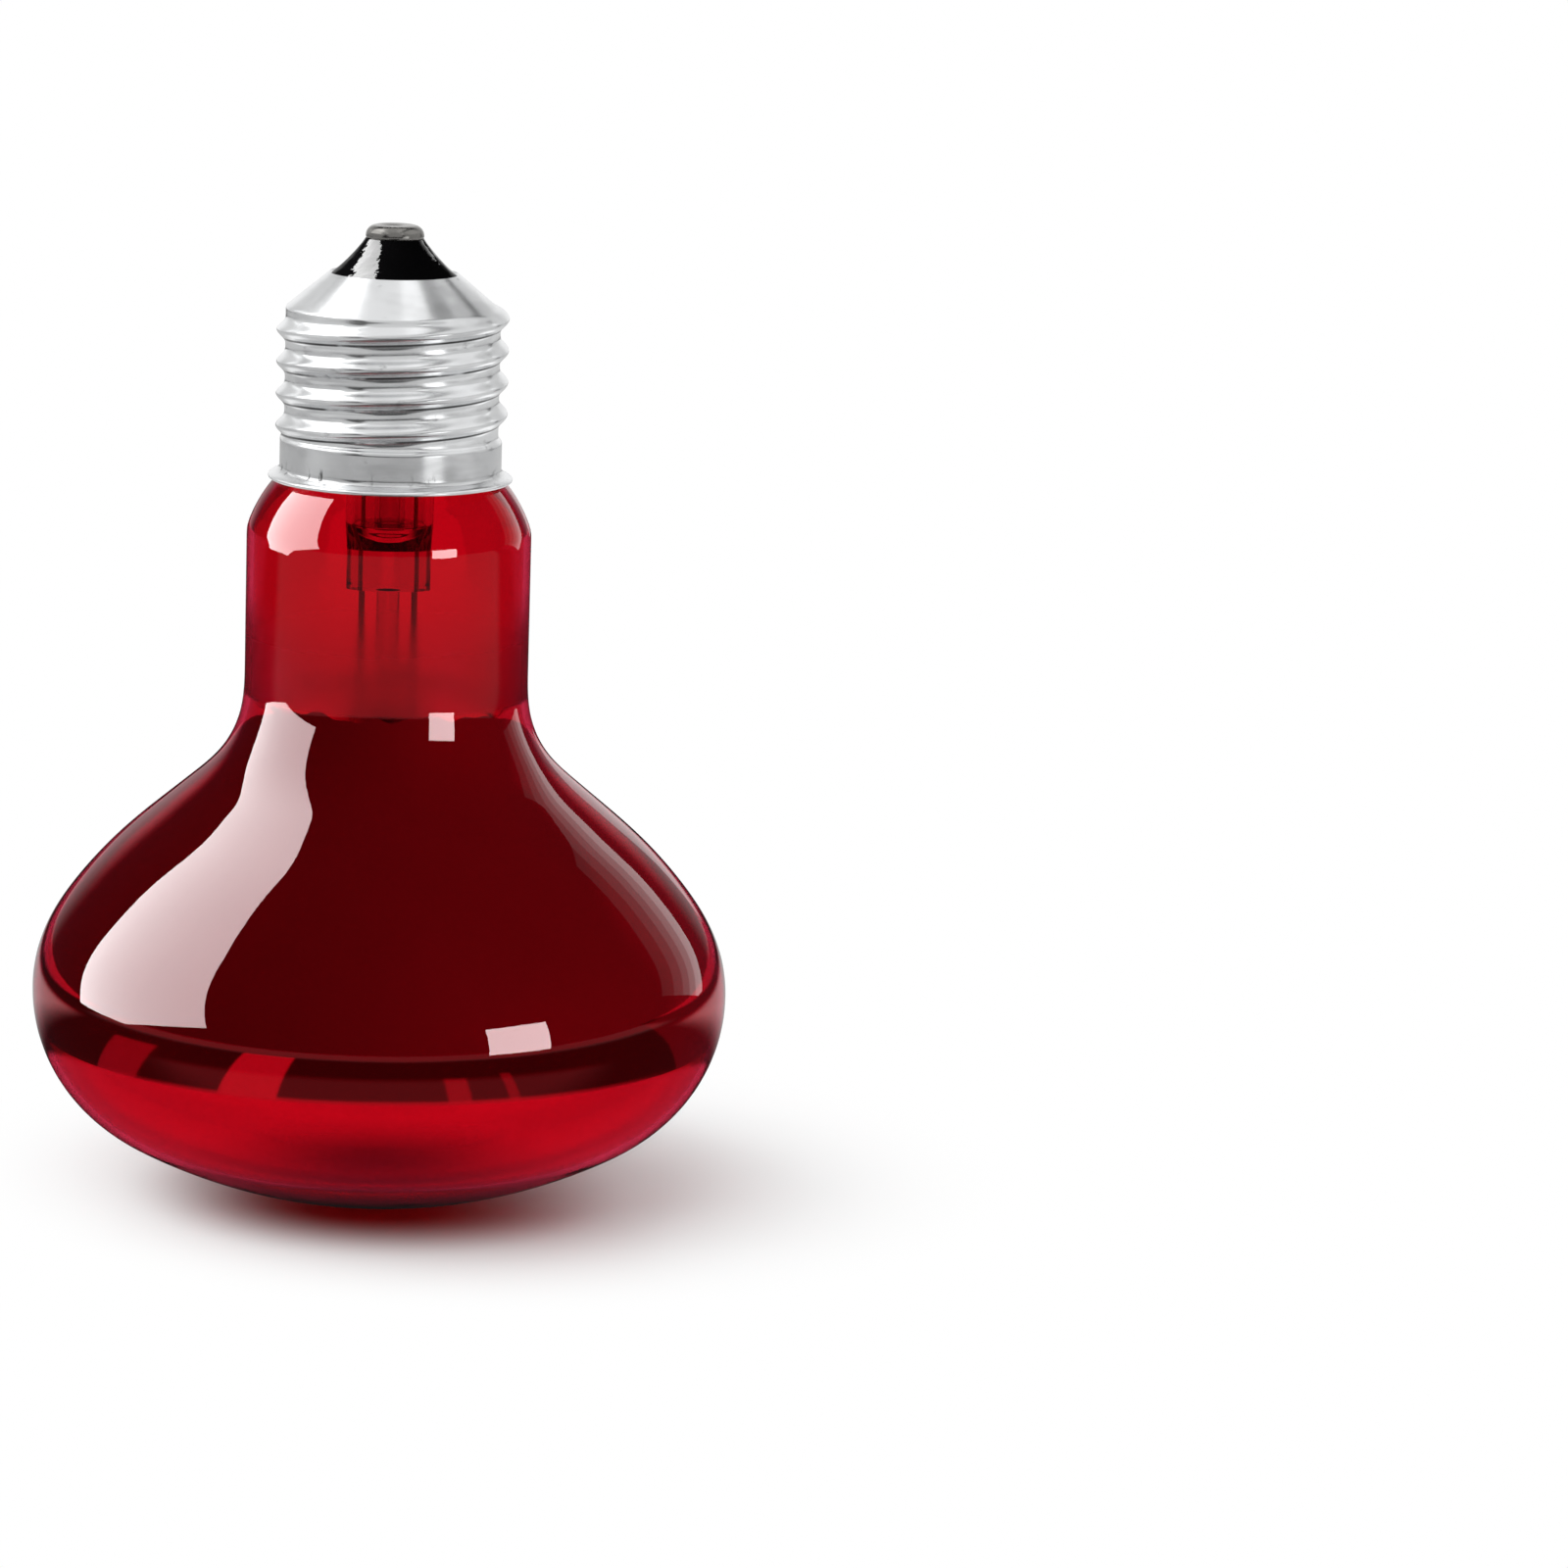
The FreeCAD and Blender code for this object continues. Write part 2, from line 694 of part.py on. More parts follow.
def side_solder(height):
    """A low dome of solder, square to the cone, over the hole behind."""
    dome, rise = half("solder_diameter"), size("solder_height")
    curve = (dome * dome + rise * rise) / (rise * 2)
    body = lathe("side_solder", [(ZERO, ZERO), (dome, ZERO, curve, 1), (ZERO, rise)])
    out = size("side_contact_radius") - half("cone_top_diameter")
    up = lip - out * size("cone_height") / cone_run
    lean = math.degrees(math.atan2(SIZES["cone_height"], cone_run.value))
    body.Placement = Placement(Vector(), Rotation(Vector(1, 0, 0), -lean))
    body.setExpression("Placement.Base.y", "sizes.side_contact_radius")
    body.setExpression("Placement.Base.z", (height + up).text)
    return body


# Heights in the mount run from the seal, so they are negative inside the bulb.
stem_end = -size("stem_length")
press_top = stem_end - size("press_shoulder")
press_end = press_top - size("press_length")
rod_end = press_end - size("rod_length")
filament_height = press_end - size("filament_drop")


def stem(height):
    tube, wall, flare = half("stem_diameter"), size("stem_wall"), size("flare_radius")
    seal = half("collar_diameter") - size("seal_radius")
    bend = -(size("glass_wall") + flare)
    corners = [
        (seal, ZERO),
        (tube + flare, ZERO, flare + size("glass_wall"), 1),
        (tube - size("glass_wall"), bend),
        (tube - wall, stem_end),
        (tube, stem_end),
        (tube, bend, flare, -1),
        (tube + flare, -size("glass_wall")),
        (seal, -size("glass_wall")),
    ]
    body = lathe("stem", corners, height)
    doc.recompute()
    round_end = Profile(body, "stem_round_end", "XY_Plane", stem_end)
    round_end.circle(ZERO, ZERO, tube)
    flat_top = press_section(body, "press_top_section", press_top)
    flat_end = press_section(body, "press_end_section", press_end)
    shoulder = body.newObject("PartDesign::AdditiveLoft", "press_shoulder_loft")
    shoulder.Profile = round_end.sketch
    shoulder.Sections = [flat_top.sketch]
    doc.recompute()
    press = body.newObject("PartDesign::Pad", "press_pad")
    press.Profile = flat_end.sketch
    press.setExpression("Length", "sizes.press_length")
    doc.recompute()
    holes = Profile(body, "seal_wire_holes", "XY_Plane")
    for side in (half("lead_spacing"), -half("lead_spacing")):
        holes.circle(side, ZERO, half("seal_wire_diameter"))
    bores = body.newObject("PartDesign::Pocket", "seal_wire_bores")
    bores.Profile = holes.sketch
    bores.Type = "ThroughAll"
    bores.Midplane = True
    body.Tip = bores
    return body


def press_section(body, name, height):
    """The flattened glass of the press, an ellipse."""
    profile = Profile(body, name, "XY_Plane", height)
    wide, thick = half("press_width"), half("press_thickness")
    ellipse = Part.Ellipse(Vector(wide.value, 0), Vector(0, thick.value), Vector())
    index = profile.sketch.addGeometry(ellipse)
    profile.sketch.exposeInternalGeometry(index)
    major, minor = index + 1, index + 2
    profile.fix("Coincident", index, 3, -1, 1)
    profile.fix("Horizontal", major)
    profile.bind(size("press_width"), "Distance", major)
    profile.bind(size("press_thickness"), "Distance", minor)
    return profile


def exhaust_tube(height):
    """Closed at its top by a round tip, open at the stem."""
    outer = half("exhaust_diameter")
    inner = outer - size("exhaust_wall")
    shoulder = stem_end + size("exhaust_length")
    corners = [
        (inner, stem_end),
        (outer, stem_end),
        (outer, shoulder, outer, 1),
        (ZERO, shoulder + outer),
        (ZERO, shoulder + inner, inner, -1),
        (inner, shoulder),
    ]
    return lathe("exhaust_tube", corners, height)


def support_rod(height):
    rod, button, edge = half("rod_diameter"), half("button_diameter"), size("button_edge_radius")
    bottom = rod_end - size("button_height")
    corners = [
        (ZERO, bottom),
        (button - edge, bottom, edge, 1),
        (button, bottom + edge),
        (button, rod_end - edge, edge, 1),
        (button - edge, rod_end),
        (rod, rod_end),
        (rod, press_end),
        (ZERO, press_end),
    ]
    return lathe("support_rod", corners, height)


def seal_wire(label, side, height):
    piece = doc.addObject("Part::Cylinder", label)
    piece.Label = label
    piece.setExpression("Radius", half("seal_wire_diameter").text)
    piece.setExpression("Height", (stem_end - press_end).text)
    piece.setExpression("Placement.Base.x", side.text)
    piece.setExpression("Placement.Base.z", (height + press_end).text)
    return piece


def hook_round_filament(diameter):
    radius = half("filament_diameter") + diameter / 2 + size("hook_clearance")
    return Corner(size("filament_radius"), filament_height, radius)


def inner_lead(label, turn, height):
    diameter = size("inner_lead_diameter")
    side = half("lead_spacing")
    route = [(side, press_end), (side, press_end - size("inner_lead_drop"))]
    hook = hook_round_filament(diameter)
    return wire(label, route, size("lead_bend_radius"), diameter, height, turn, hook)


def filament_support(label, turn, height):
    diameter = size("support_diameter")
    start = half("button_diameter")
    middle = rod_end - half("button_height")
    route = [(start, middle), (start + size("support_reach"), middle)]
    hook = hook_round_filament(diameter)
    return wire(label, route, size("support_bend_radius"), diameter, height, turn, hook)


def filament(height):
    body = new_body("filament", height, FRONT)
    profile = Profile(body, "filament_section")
    profile.circle(size("filament_radius"), filament_height, half("filament_diameter"))
    revolve(body, profile, size("filament_angle"))
    return body


def centre_lead(height, cap_height):
    """From the press up to the middle of the cap, through the insulator to the contact."""
    side = half("lead_spacing")
    turn_in = cap_height + lip - size("insulator_depth") - size("outer_lead_rise")
    top = cap_height + insulator_top + size("plate_thickness")
    route = [(side, stem_end), (side, size("outer_lead_rise")), (ZERO, turn_in), (ZERO, top)]
    return wire("centre_lead", route, size("lead_bend_radius"), size("outer_lead_diameter"), height)


def side_lead(height, cap_height):
    """From the press up and back to the hole in the cone, in a slanting upright plane."""
    side = half("lead_spacing")
    reach = size("side_contact_radius")
    across = hypotenuse(side, reach)
    out = reach - half("cone_top_diameter")
    fall = size("cone_height") / cone_run
    top = cap_height + lip - (out + half("outer_lead_diameter")) * fall
    below = top - size("outer_lead_rise")
    route = [(ZERO, stem_end), (ZERO, size("outer_lead_rise")), (across, below), (across, top)]
    turn = math.degrees(math.atan2(reach.value, side.value))
    body = wire("side_lead", route, size("lead_bend_radius"), size("outer_lead_diameter"), height, turn)
    body.setExpression("Placement.Base.x", (-side).text)
    return body


def build():
    envelope, heights = glass_envelope()
    seal_top = heights["seal_top"]
    cap_height = heights["neck_end"] + cap_lift()
    cap_over_seal = cap_height - seal_top
    pieces = [
        envelope,
        mirror_coating(),
        cap_shell(cap_height),
        cap_insulator(cap_height),
        contact_plate(cap_height),
        contact_solder(cap_height),
        cap_cement(cap_height, heights["collar_start"] - cap_height),
        side_solder(cap_height),
        stem(seal_top),
        exhaust_tube(seal_top),
        support_rod(seal_top),
        seal_wire("seal_wire_left", -half("lead_spacing"), seal_top),
        seal_wire("seal_wire_right", half("lead_spacing"), seal_top),
        inner_lead("inner_lead_left", 180.0, seal_top),
        inner_lead("inner_lead_right", 0.0, seal_top),
        centre_lead(seal_top, cap_over_seal),
        side_lead(seal_top, cap_over_seal),
        filament(seal_top),
    ]
    for number, angle in enumerate(SUPPORT_ANGLES, start=1):
        pieces.append(filament_support(f"filament_support_{number}", angle, seal_top))
    return pieces


def check(pieces):
    failed = [item.Name for item in doc.Objects if {"Invalid", "Error"} & set(item.State)]
    if failed:
        raise RuntimeError(f"these objects failed: {failed}")
    for piece in pieces:
        if piece.Shape.isNull() or not piece.Shape.isValid() or not piece.Shape.Solids:
            raise RuntimeError(f"{piece.Label} has no sound solid")


def write(pieces):
    os.makedirs("parts", exist_ok=True)
    for piece in pieces:
        piece.Shape.exportStep(f"parts/{piece.Label}.step")
        box = piece.Shape.BoundBox
        print(f"{piece.Label}: {piece.Shape.Volume:.1f} mm3, height {box.ZMin:.2f} to {box.ZMax:.2f}")


all_pieces = build()
doc.recompute()
check(all_pieces)
write(all_pieces)
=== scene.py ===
import math

import bmesh
import bpy
import numpy as np
from mathutils import Matrix, Quaternion, Vector


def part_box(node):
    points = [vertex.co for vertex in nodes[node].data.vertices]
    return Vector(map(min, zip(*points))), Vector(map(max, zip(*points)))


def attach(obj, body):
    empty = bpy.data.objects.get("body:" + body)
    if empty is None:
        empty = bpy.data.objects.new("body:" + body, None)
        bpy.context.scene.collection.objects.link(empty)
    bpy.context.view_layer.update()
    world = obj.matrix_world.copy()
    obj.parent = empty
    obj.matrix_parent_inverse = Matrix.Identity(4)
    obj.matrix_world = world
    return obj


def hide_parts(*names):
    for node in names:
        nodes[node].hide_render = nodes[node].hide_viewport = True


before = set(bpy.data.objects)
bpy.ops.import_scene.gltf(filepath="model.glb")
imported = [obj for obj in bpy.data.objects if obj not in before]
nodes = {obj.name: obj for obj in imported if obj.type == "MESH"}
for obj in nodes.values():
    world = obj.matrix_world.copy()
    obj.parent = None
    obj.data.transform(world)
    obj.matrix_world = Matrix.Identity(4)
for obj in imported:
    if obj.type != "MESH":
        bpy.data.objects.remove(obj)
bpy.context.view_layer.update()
mm = 0.001
print("frame loaded,", len(nodes), "nodes")


# node trees

class Link:
    # a socket that further nodes grow from; arithmetic on it adds math nodes

    def __init__(self, tree, socket):
        self.tree = tree
        self.socket = socket

    def node(self, kind, output, inputs, **settings):
        # any node at all: inputs by name or number, settings as the node's own properties
        made = self.tree.nodes.new(kind)
        for name, value in settings.items():
            setattr(made, name, value)
        for key, value in inputs.items():
            self.feed(made.inputs[key], value)
        return Link(self.tree, made.outputs[output])

    def feed(self, socket, value):
        if isinstance(value, Link):
            self.tree.links.new(value.socket, socket)
        else:
            socket.default_value = value

    def math(self, operation, *values):
        inputs = dict(enumerate(values))
        return self.node("ShaderNodeMath", 0, inputs, operation=operation)

    def __add__(self, other):
        return self.math("ADD", self, other)

    def __radd__(self, other):
        return self.math("ADD", other, self)

    def __sub__(self, other):
        return self.math("SUBTRACT", self, other)

    def __rsub__(self, other):
        return self.math("SUBTRACT", other, self)

    def __mul__(self, other):
        return self.math("MULTIPLY", self, other)

    def __rmul__(self, other):
        return self.math("MULTIPLY", other, self)

    def __truediv__(self, other):
        return self.math("DIVIDE", self, other)

    def __rtruediv__(self, other):
        return self.math("DIVIDE", other, self)

    def axis(self, name):
        return self.node("ShaderNodeSeparateXYZ", name, {"Vector": self})

    def stretched(self, *factors):
        return self.node("ShaderNodeMapping", 0, {"Vector": self, "Scale": factors})

    def noise(self, scale, detail=2.0, roughness=0.5):
        inputs = {"Vector": self, "Scale": scale, "Detail": detail, "Roughness": roughness}
        return self.node("ShaderNodeTexNoise", 0, inputs)

    def ramp(self, low, high, first=0.0, last=1.0):
        # smooth step from first to last as the value goes from low to high
        inputs = {"Value": self, "From Min": low, "From Max": high, "To Min": first, "To Max": last}
        return self.node("ShaderNodeMapRange", 0, inputs, interpolation_type="SMOOTHSTEP")

    def colours(self, first, last):
        inputs = {0: self, 6: (*first, 1.0), 7: (*last, 1.0)}
        return self.node("ShaderNodeMix", 2, inputs, data_type="RGBA")

    def bump(self, height, strength=1.0):
        # height is how deep the relief is, in metres
        inputs = {"Height": self, "Distance": height, "Strength": strength}
        return self.node("ShaderNodeBump", 0, inputs)


def newPaint(name):
    material = bpy.data.materials.new(name)
    material.use_nodes = True
    tree = material.node_tree
    tree.nodes.clear()
    coords = tree.nodes.new("ShaderNodeTexCoord")
    return material, Link(tree, coords.outputs["Object"])


def finishPaint(material, at, inputs):
    shader = at.node("ShaderNodeBsdfPrincipled", 0, inputs)
    output = at.tree.nodes.new("ShaderNodeOutputMaterial")
    at.tree.links.new(shader.socket, output.inputs["Surface"])
    return material


# meshes

def gridMesh(name, points, closeRows=False):
    # points[i, j] are places on a surface; each row runs round to its start, and so can the rows
    index = np.arange(points.shape[0] * points.shape[1]).reshape(points.shape[:2])
    index = np.vstack([index, index[:1]]) if closeRows else index
    index = np.hstack([index, index[:, :1]])
    quads = np.stack([index[:-1, :-1], index[:-1, 1:], index[1:, 1:], index[1:, :-1]], -1)
    mesh = bpy.data.meshes.new(name)
    mesh.from_pydata(points.reshape(-1, 3).tolist(), [], quads.reshape(-1, 4).tolist())
    return mesh


def tidyMesh(mesh, sharp=40.0):
    # poles become single points, normals face out, edges sharper than the angle stay crisp
    work = bmesh.new()
    work.from_mesh(mesh)
    bmesh.ops.remove_doubles(work, verts=work.verts, dist=1e-7)
    bmesh.ops.recalc_face_normals(work, faces=work.faces)
    work.to_mesh(mesh)
    work.free()
    mesh.polygons.foreach_set("use_smooth", np.ones(len(mesh.polygons), bool))
    mesh.set_sharp_from_angle(angle=math.radians(sharp))


def addPiece(name, mesh, material, replaced):
    piece = bpy.data.objects.new(name, mesh)
    bpy.context.scene.collection.objects.link(piece)
    mesh.materials.append(material)
    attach(piece, "root")
    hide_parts(replaced)
    return piece


def turned(line, columns):
    # turn a line of (radius, height) about the upright axis
    angle = np.linspace(0, 2 * np.pi, columns, endpoint=False)
    radius, height = line[:, :1], line[:, 1:2]
    up = np.broadcast_to(height, (len(line), columns))
    return np.stack([radius * np.cos(angle), radius * np.sin(angle), up], -1)


def arc(centre, radius, start, end, count):
    # places on a circle, from angle to angle in degrees
    angle = np.radians(np.linspace(start, end, count))
    return np.array(centre) + radius * np.stack([np.cos(angle), np.sin(angle)], -1)


def run(start, end, count):
    # places on a straight stretch
    share = np.linspace(0, 1, count)[:, None]
    return np.array(start) + share * (np.array(end) - np.array(start))


def softened(corners, spacing, reach):
    # a line through corners, evenly spaced, whose corners are rounded by a moving average
    corners = np.array(corners)
    length = np.r_[0, np.cumsum(np.hypot(*np.diff(corners, axis=0).T))]
    places = np.linspace(0, length[-1], int(length[-1] / spacing) + 1)
    line = np.stack([np.interp(places, length, corners[:, k]) for k in (0, 1)], -1)
    width = int(reach / spacing) | 1
    padded = np.vstack([np.repeat(line[:1], width // 2, 0), line, np.repeat(line[-1:], width // 2, 0)])
    window = np.ones(width) / width
    return np.stack([np.convolve(padded[:, k], window, "valid") for k in (0, 1)], -1)


def outward(line):
    # the direction out of a line that runs up its right side: its step turned to the right
    step = np.gradient(line, axis=0)
    return np.stack([step[:, 1], -step[:, 0]], -1) / np.hypot(*step.T)[:, None]


def smoothStep(low, high, value):
    share = np.clip((value - low) / (high - low), 0, 1)
    return share * share * (3 - 2 * share)


# the red glass bulb and its mirror film, in millimetres

bulb = {
    "widest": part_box("glass_envelope")[1].x / mm,
    "faceRadius": 62.0,
    "rimFront": 18.5,
    "rimBack": 17.0,
    "rimBackAngle": 35.0,
    "flank": 52.0,
    "flankAngle": 50.0,
    "shoulder": 12.5,
    "neck": 16.2,
    "neckLength": 17.9,
    "neckCorner": 4.0,
    "neckCornerAngle": 20.0,
    "neckTop": 16.0,
    "tuck": 2.0,
    "collar": 10.9,
    "collarLength": 4.5,
    "seal": 2.5,
    "wall": 0.8,
    "filmEdge": 4.0,      # the film ends this far below the widest ring
    "film": 0.1,
    "filmGap": 0.02,      # keeps the film's skin clear of the glass
    "filmRagged": 0.25,
    "spacing": 0.5,
    "eased": 5.0,         # one bend of the bowl runs into the next over this length,
    "easeFrom": (2.0, 10.0),    # which sets in above the widest ring
    "easeTo": (12.0, 8.0),      # and ends below the top of the neck
    "filmRows": 140,
    "columns": 148,
}


def polar(degrees):
    return np.array([math.cos(math.radians(degrees)), math.sin(math.radians(degrees))])


def wallLine(b):
    # the outside of the glass from the middle of the face to the seal: arcs and straight runs
    # that flow into each other, evenly spaced, with a moving average from rim to neck
    frontX = b["widest"] - b["rimFront"]
    frontAngle = -math.degrees(math.acos(frontX / (b["faceRadius"] - b["rimFront"])))
    equator = b["faceRadius"] + (b["faceRadius"] - b["rimFront"]) * math.sin(math.radians(frontAngle))
    rimCentre = np.array([b["widest"] - b["rimBack"], equator])
    backWay = polar(b["rimBackAngle"])
    flankCentre = rimCentre + (b["rimBack"] - b["flank"]) * backWay
    flankWay = polar(b["flankAngle"])
    slopeStart = flankCentre + b["flank"] * flankWay
    slopeX = b["neck"] + b["shoulder"] * (1 - flankWay[0])
    slopeEnd = slopeStart + (slopeStart[0] - slopeX) / flankWay[1] * np.array([-flankWay[1], flankWay[0]])
    shoulder = slopeEnd + b["shoulder"] * flankWay
    neckEnd = shoulder[1] + b["neckLength"]
    cornerCentre = np.array([b["neck"] - b["neckCorner"], neckEnd])
    topCentre = cornerCentre - (b["neckTop"] - b["neckCorner"]) * polar(b["neckCornerAngle"])
    bends = b["neckTop"] + b["tuck"]
    tuckAngle = math.degrees(math.acos((b["collar"] + b["tuck"] - topCentre[0]) / bends))
    collarStart = topCentre[1] + bends * math.sin(math.radians(tuckAngle))
    collarEnd = collarStart + b["collarLength"]
    places = np.vstack([
        arc([0, b["faceRadius"]], b["faceRadius"], -90, frontAngle, 60)[:-1],
        arc([frontX, equator], b["rimFront"], frontAngle, 0, 80)[:-1],
        arc(rimCentre, b["rimBack"], 0, b["rimBackAngle"], 50)[:-1],
        arc(flankCentre, b["flank"], b["rimBackAngle"], b["flankAngle"], 40)[:-1],
        arc(shoulder, b["shoulder"], 180 + b["flankAngle"], 180, 40),
        arc(cornerCentre, b["neckCorner"], 0, b["neckCornerAngle"], 16),
        arc(topCentre, b["neckTop"], b["neckCornerAngle"], tuckAngle, 40)[1:],
        arc([b["collar"] + b["tuck"], collarStart], b["tuck"], 180 + tuckAngle, 180, 14)[1:],
        arc([b["collar"] - b["seal"], collarEnd], b["seal"], 0, 90, 14),
    ])
    even = softened(places, b["spacing"], b["spacing"])
    mean = softened(places, b["spacing"], b["eased"])
    up = even[:, 1:]
    above, below = equator + np.array(b["easeFrom"]), neckEnd - np.array(b["easeTo"])
    share = smoothStep(*above, up) * (1 - smoothStep(*below, up))
    line = even + share * (mean - even)
    ways = outward(line)
    ways[0] = (0, -1)
    return line, ways, {"equator": equator, "neckStart": shoulder[1], "neckEnd": neckEnd}


wall, wallWay, heights = wallLine(bulb)
filmLow = heights["equator"] - bulb["filmEdge"]
filmHigh = heights["neckStart"]


def glassPaint():
    # clear red glass: every crossing of a skin takes part of the colour, with faint draw lines;
    # inside it turns hazy low in the neck, where the film thins out; its shine is faintly pink
    material, at = newPaint("redGlass")
    streaks = at.stretched(1, 1, 0.12).noise(160.0, 3.0)
    depth = at.noise(45.0, 2.0)
    colour = (streaks * 0.5 + depth * 0.5).colours((0.70, 0.024, 0.070), (0.78, 0.034, 0.090))
    up = at.axis("Z") / mm
    across = at.node("ShaderNodeVectorMath", "Value", {0: at.stretched(1, 1, 0)}, operation="LENGTH") / mm
    inside = across.ramp(bulb["neck"] - 0.3, bulb["neck"] - 0.5)
    haze = inside * up.ramp(filmHigh - 1.0, filmHigh) * up.ramp(filmHigh + 16.0, filmHigh + 2.0)
    return finishPaint(material, at, {
        "Base Color": colour,
        "Roughness": at.noise(300.0).ramp(0.3, 0.7, 0.0, 0.015) + haze * 0.35,
        "IOR": 1.52,
        "Specular Tint": (1.0, 0.75, 0.76, 1.0),
        "Transmission Weight": 1.0,
        "Normal": streaks.bump(0.00004, 0.25),
    })


def filmPaint():
    # the film's bright skin, a little cloudy
    material, at = newPaint("mirrorFilm")
    cloud = at.noise(60.0, 3.0)
    return finishPaint(material, at, {
        "Base Color": cloud.colours((0.80, 0.80, 0.81), (0.90, 0.90, 0.90)),
        "Metallic": 1.0,
        "Roughness": cloud.ramp(0.3, 0.7, 0.03, 0.07),
        "Normal": at.noise(70.0, 2.0).bump(0.0002, 0.2),
    })


def makeBulb():
    inner = wall - bulb["wall"] * wallWay
    line = np.vstack([wall, inner[::-1]])
    mesh = gridMesh("glassBulb", turned(line * mm, bulb["columns"]))
    tidyMesh(mesh)
    return addPiece("glassBulb", mesh, glassPaint(), "glass_envelope")


def filmSkin(inset):
    # the wall moved in by inset, from the film's lower edge to its upper one; the upper edge wanders
    # a little round the bulb, as a sum of sines
    line = wall - inset * wallWay
    length = np.r_[0, np.cumsum(np.hypot(*np.diff(line, axis=0).T))]
    low = np.interp(filmLow, wall[:, 1], length)
    high = np.interp(filmHigh, wall[:, 1], length)
    angle = np.linspace(0, 2 * np.pi, bulb["columns"], endpoint=False)
    ragged = np.sin(7 * angle + 1) + np.sin(16 * angle) + 0.7 * np.sin(29 * angle + 2)
    top = high - bulb["filmRagged"] * (2.7 + ragged)
    places = low + np.linspace(0, 1, bulb["filmRows"])[:, None] * (top - low)[None, :]
    radius, height = (np.interp(places, length, line[:, k]) for k in (0, 1))
    return np.stack([radius * np.cos(angle), radius * np.sin(angle), height], -1)


def makeFilm():
    outside = filmSkin(bulb["wall"] + bulb["filmGap"])
    inside = filmSkin(bulb["wall"] + bulb["film"])
    mesh = gridMesh("mirrorFilm", np.vstack([outside, inside[::-1]]) * mm, closeRows=True)
    tidyMesh(mesh)
    return addPiece("mirrorFilm", mesh, filmPaint(), "mirror_coating")


glassBulb = makeBulb()
makeFilm()
print("bulb made")


# the screw cap's shell, in millimetres, with heights from its rim

cap = {
    "rimHeight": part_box("cap_shell")[0].z / mm,
    "rim": 13.95,
    "flare": 1.0,
    "bead": 0.5,          # the rolled edge of the rim
    "skirt": 12.6,
    "skirtTop": 4.5,
    "core": 12.15,
    "coreBottom": 5.0,
    "coreTop": 19.5,
    "lip": (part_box("cap_shell")[1].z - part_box("cap_shell")[0].z) / mm,
    "mouth": 7.35,
    "wall": 0.3,
    "ridge": 1.0,
    "pitch": 3.629,
    "turns": 4.0,
    "spacing": 0.15,
    "soften": 0.55,
    "columns": 280,
}


def ridgeRise(angle, height, c):
    # the thread: a ridge that climbs one pitch a turn from behind, rounded by a raised cosine,
    # and fades in and out over part of a turn at its ends
    turn = (angle - np.pi / 2) / (2 * np.pi) % 1.0
    place = (height - c["coreBottom"]) / c["pitch"] - turn
    nearest = np.clip(np.round(place), 0, np.floor(c["turns"] - turn))
    offset = np.abs(place - nearest)
    bell = np.where(offset < 0.5, (0.5 + 0.5 * np.cos(2 * np.pi * offset)) ** 1.7, 0)
    climbed = turn + nearest
    fade = smoothStep(-0.05, 0.2, climbed) * (1 - smoothStep(c["turns"] - 0.2, c["turns"], climbed))
    return c["ridge"] * bell * fade


def capLine(c):
    rimLine = softened([
        (c["rim"] - 0.15, 0.0),
        (c["rim"], c["bead"] * 0.5),
        (c["rim"] - 0.25, c["bead"]),
        (c["skirt"] + 0.25, c["flare"] - 0.1),
        (c["skirt"], c["flare"] + 0.25),
        (c["skirt"], c["skirtTop"]),
        (c["core"], c["coreBottom"]),
        (c["core"], c["coreTop"]),
        (c["mouth"], c["lip"]),
    ], c["spacing"], c["soften"])
    rimLine[-1] = (c["mouth"], c["lip"])
    return rimLine


def aluminiumPaint():
    # rolled sheet: fine scratches run round the cap, with dull patches and, near the rim, small scuffs;
    # painted shade draws dark lines in the creases under the thread and darkens the skirt below it
    material, at = newPaint("capAluminium")
    rolled = at.stretched(0.25, 0.25, 3.0).noise(500.0, 3.0)
    cloud = at.noise(130.0, 4.0, 0.6)
    up = at.axis("Z") / mm - cap["rimHeight"]
    angle = at.math("ARCTAN2", 0 - at.axis("X"), at.axis("Y"))
    climb = (up - cap["coreBottom"]) / cap["pitch"] - angle / (2 * math.pi)
    phase = climb.math("FRACT", climb)
    low, high = cap["coreBottom"], cap["coreTop"]
    threaded = up.ramp(low - 1, low) * up.ramp(high, high - 1)
    # painted shade: dark lines in the creases under each turn of the thread
    creaseShade = phase.ramp(0.68, 0.71) * phase.ramp(0.785, 0.75) * threaded * cloud.ramp(0.32, 0.48)
    scratch = at.stretched(3, 3, 0.7).noise(260.0, 4.0, 0.7).ramp(0.57, 0.66)
    leftSide = (at.axis("X") / mm).ramp(-3.0, -8.0)
    scuff = scratch * up.ramp(2.6, 1.4) * up.ramp(0.6, 1.2) * (0.3 + 0.7 * leftSide)
    dull = at.stretched(1, 1, 2.2).noise(75.0, 3.0, 0.6).ramp(0.46, 0.70)
    smudge = at.stretched(1, 1, 1.6).noise(260.0, 4.0, 0.7).ramp(0.62, 0.74)
    # painted shade: the skirt between the rim and the thread is a little darker
    skirt = up.ramp(low, low - 1) * up.ramp(0.6, 1.2)
    # scuffs, smudges and dull patches are wear; the creases and the skirt carry painted shade
    marksAndShade = creaseShade * 0.95 + scuff * 0.8 + smudge * 0.35 + dull * 0.22 + skirt * 0.22
    return finishPaint(material, at, {
        "Base Color": marksAndShade.colours((0.90, 0.91, 0.92), (0.07, 0.07, 0.07)),
        "Metallic": 0.95,
        "Roughness": cloud.ramp(0.3, 0.7, 0.16, 0.25),
        "Normal": (rolled * 0.6 + cloud * 0.4).bump(0.00002, 0.35),
    })


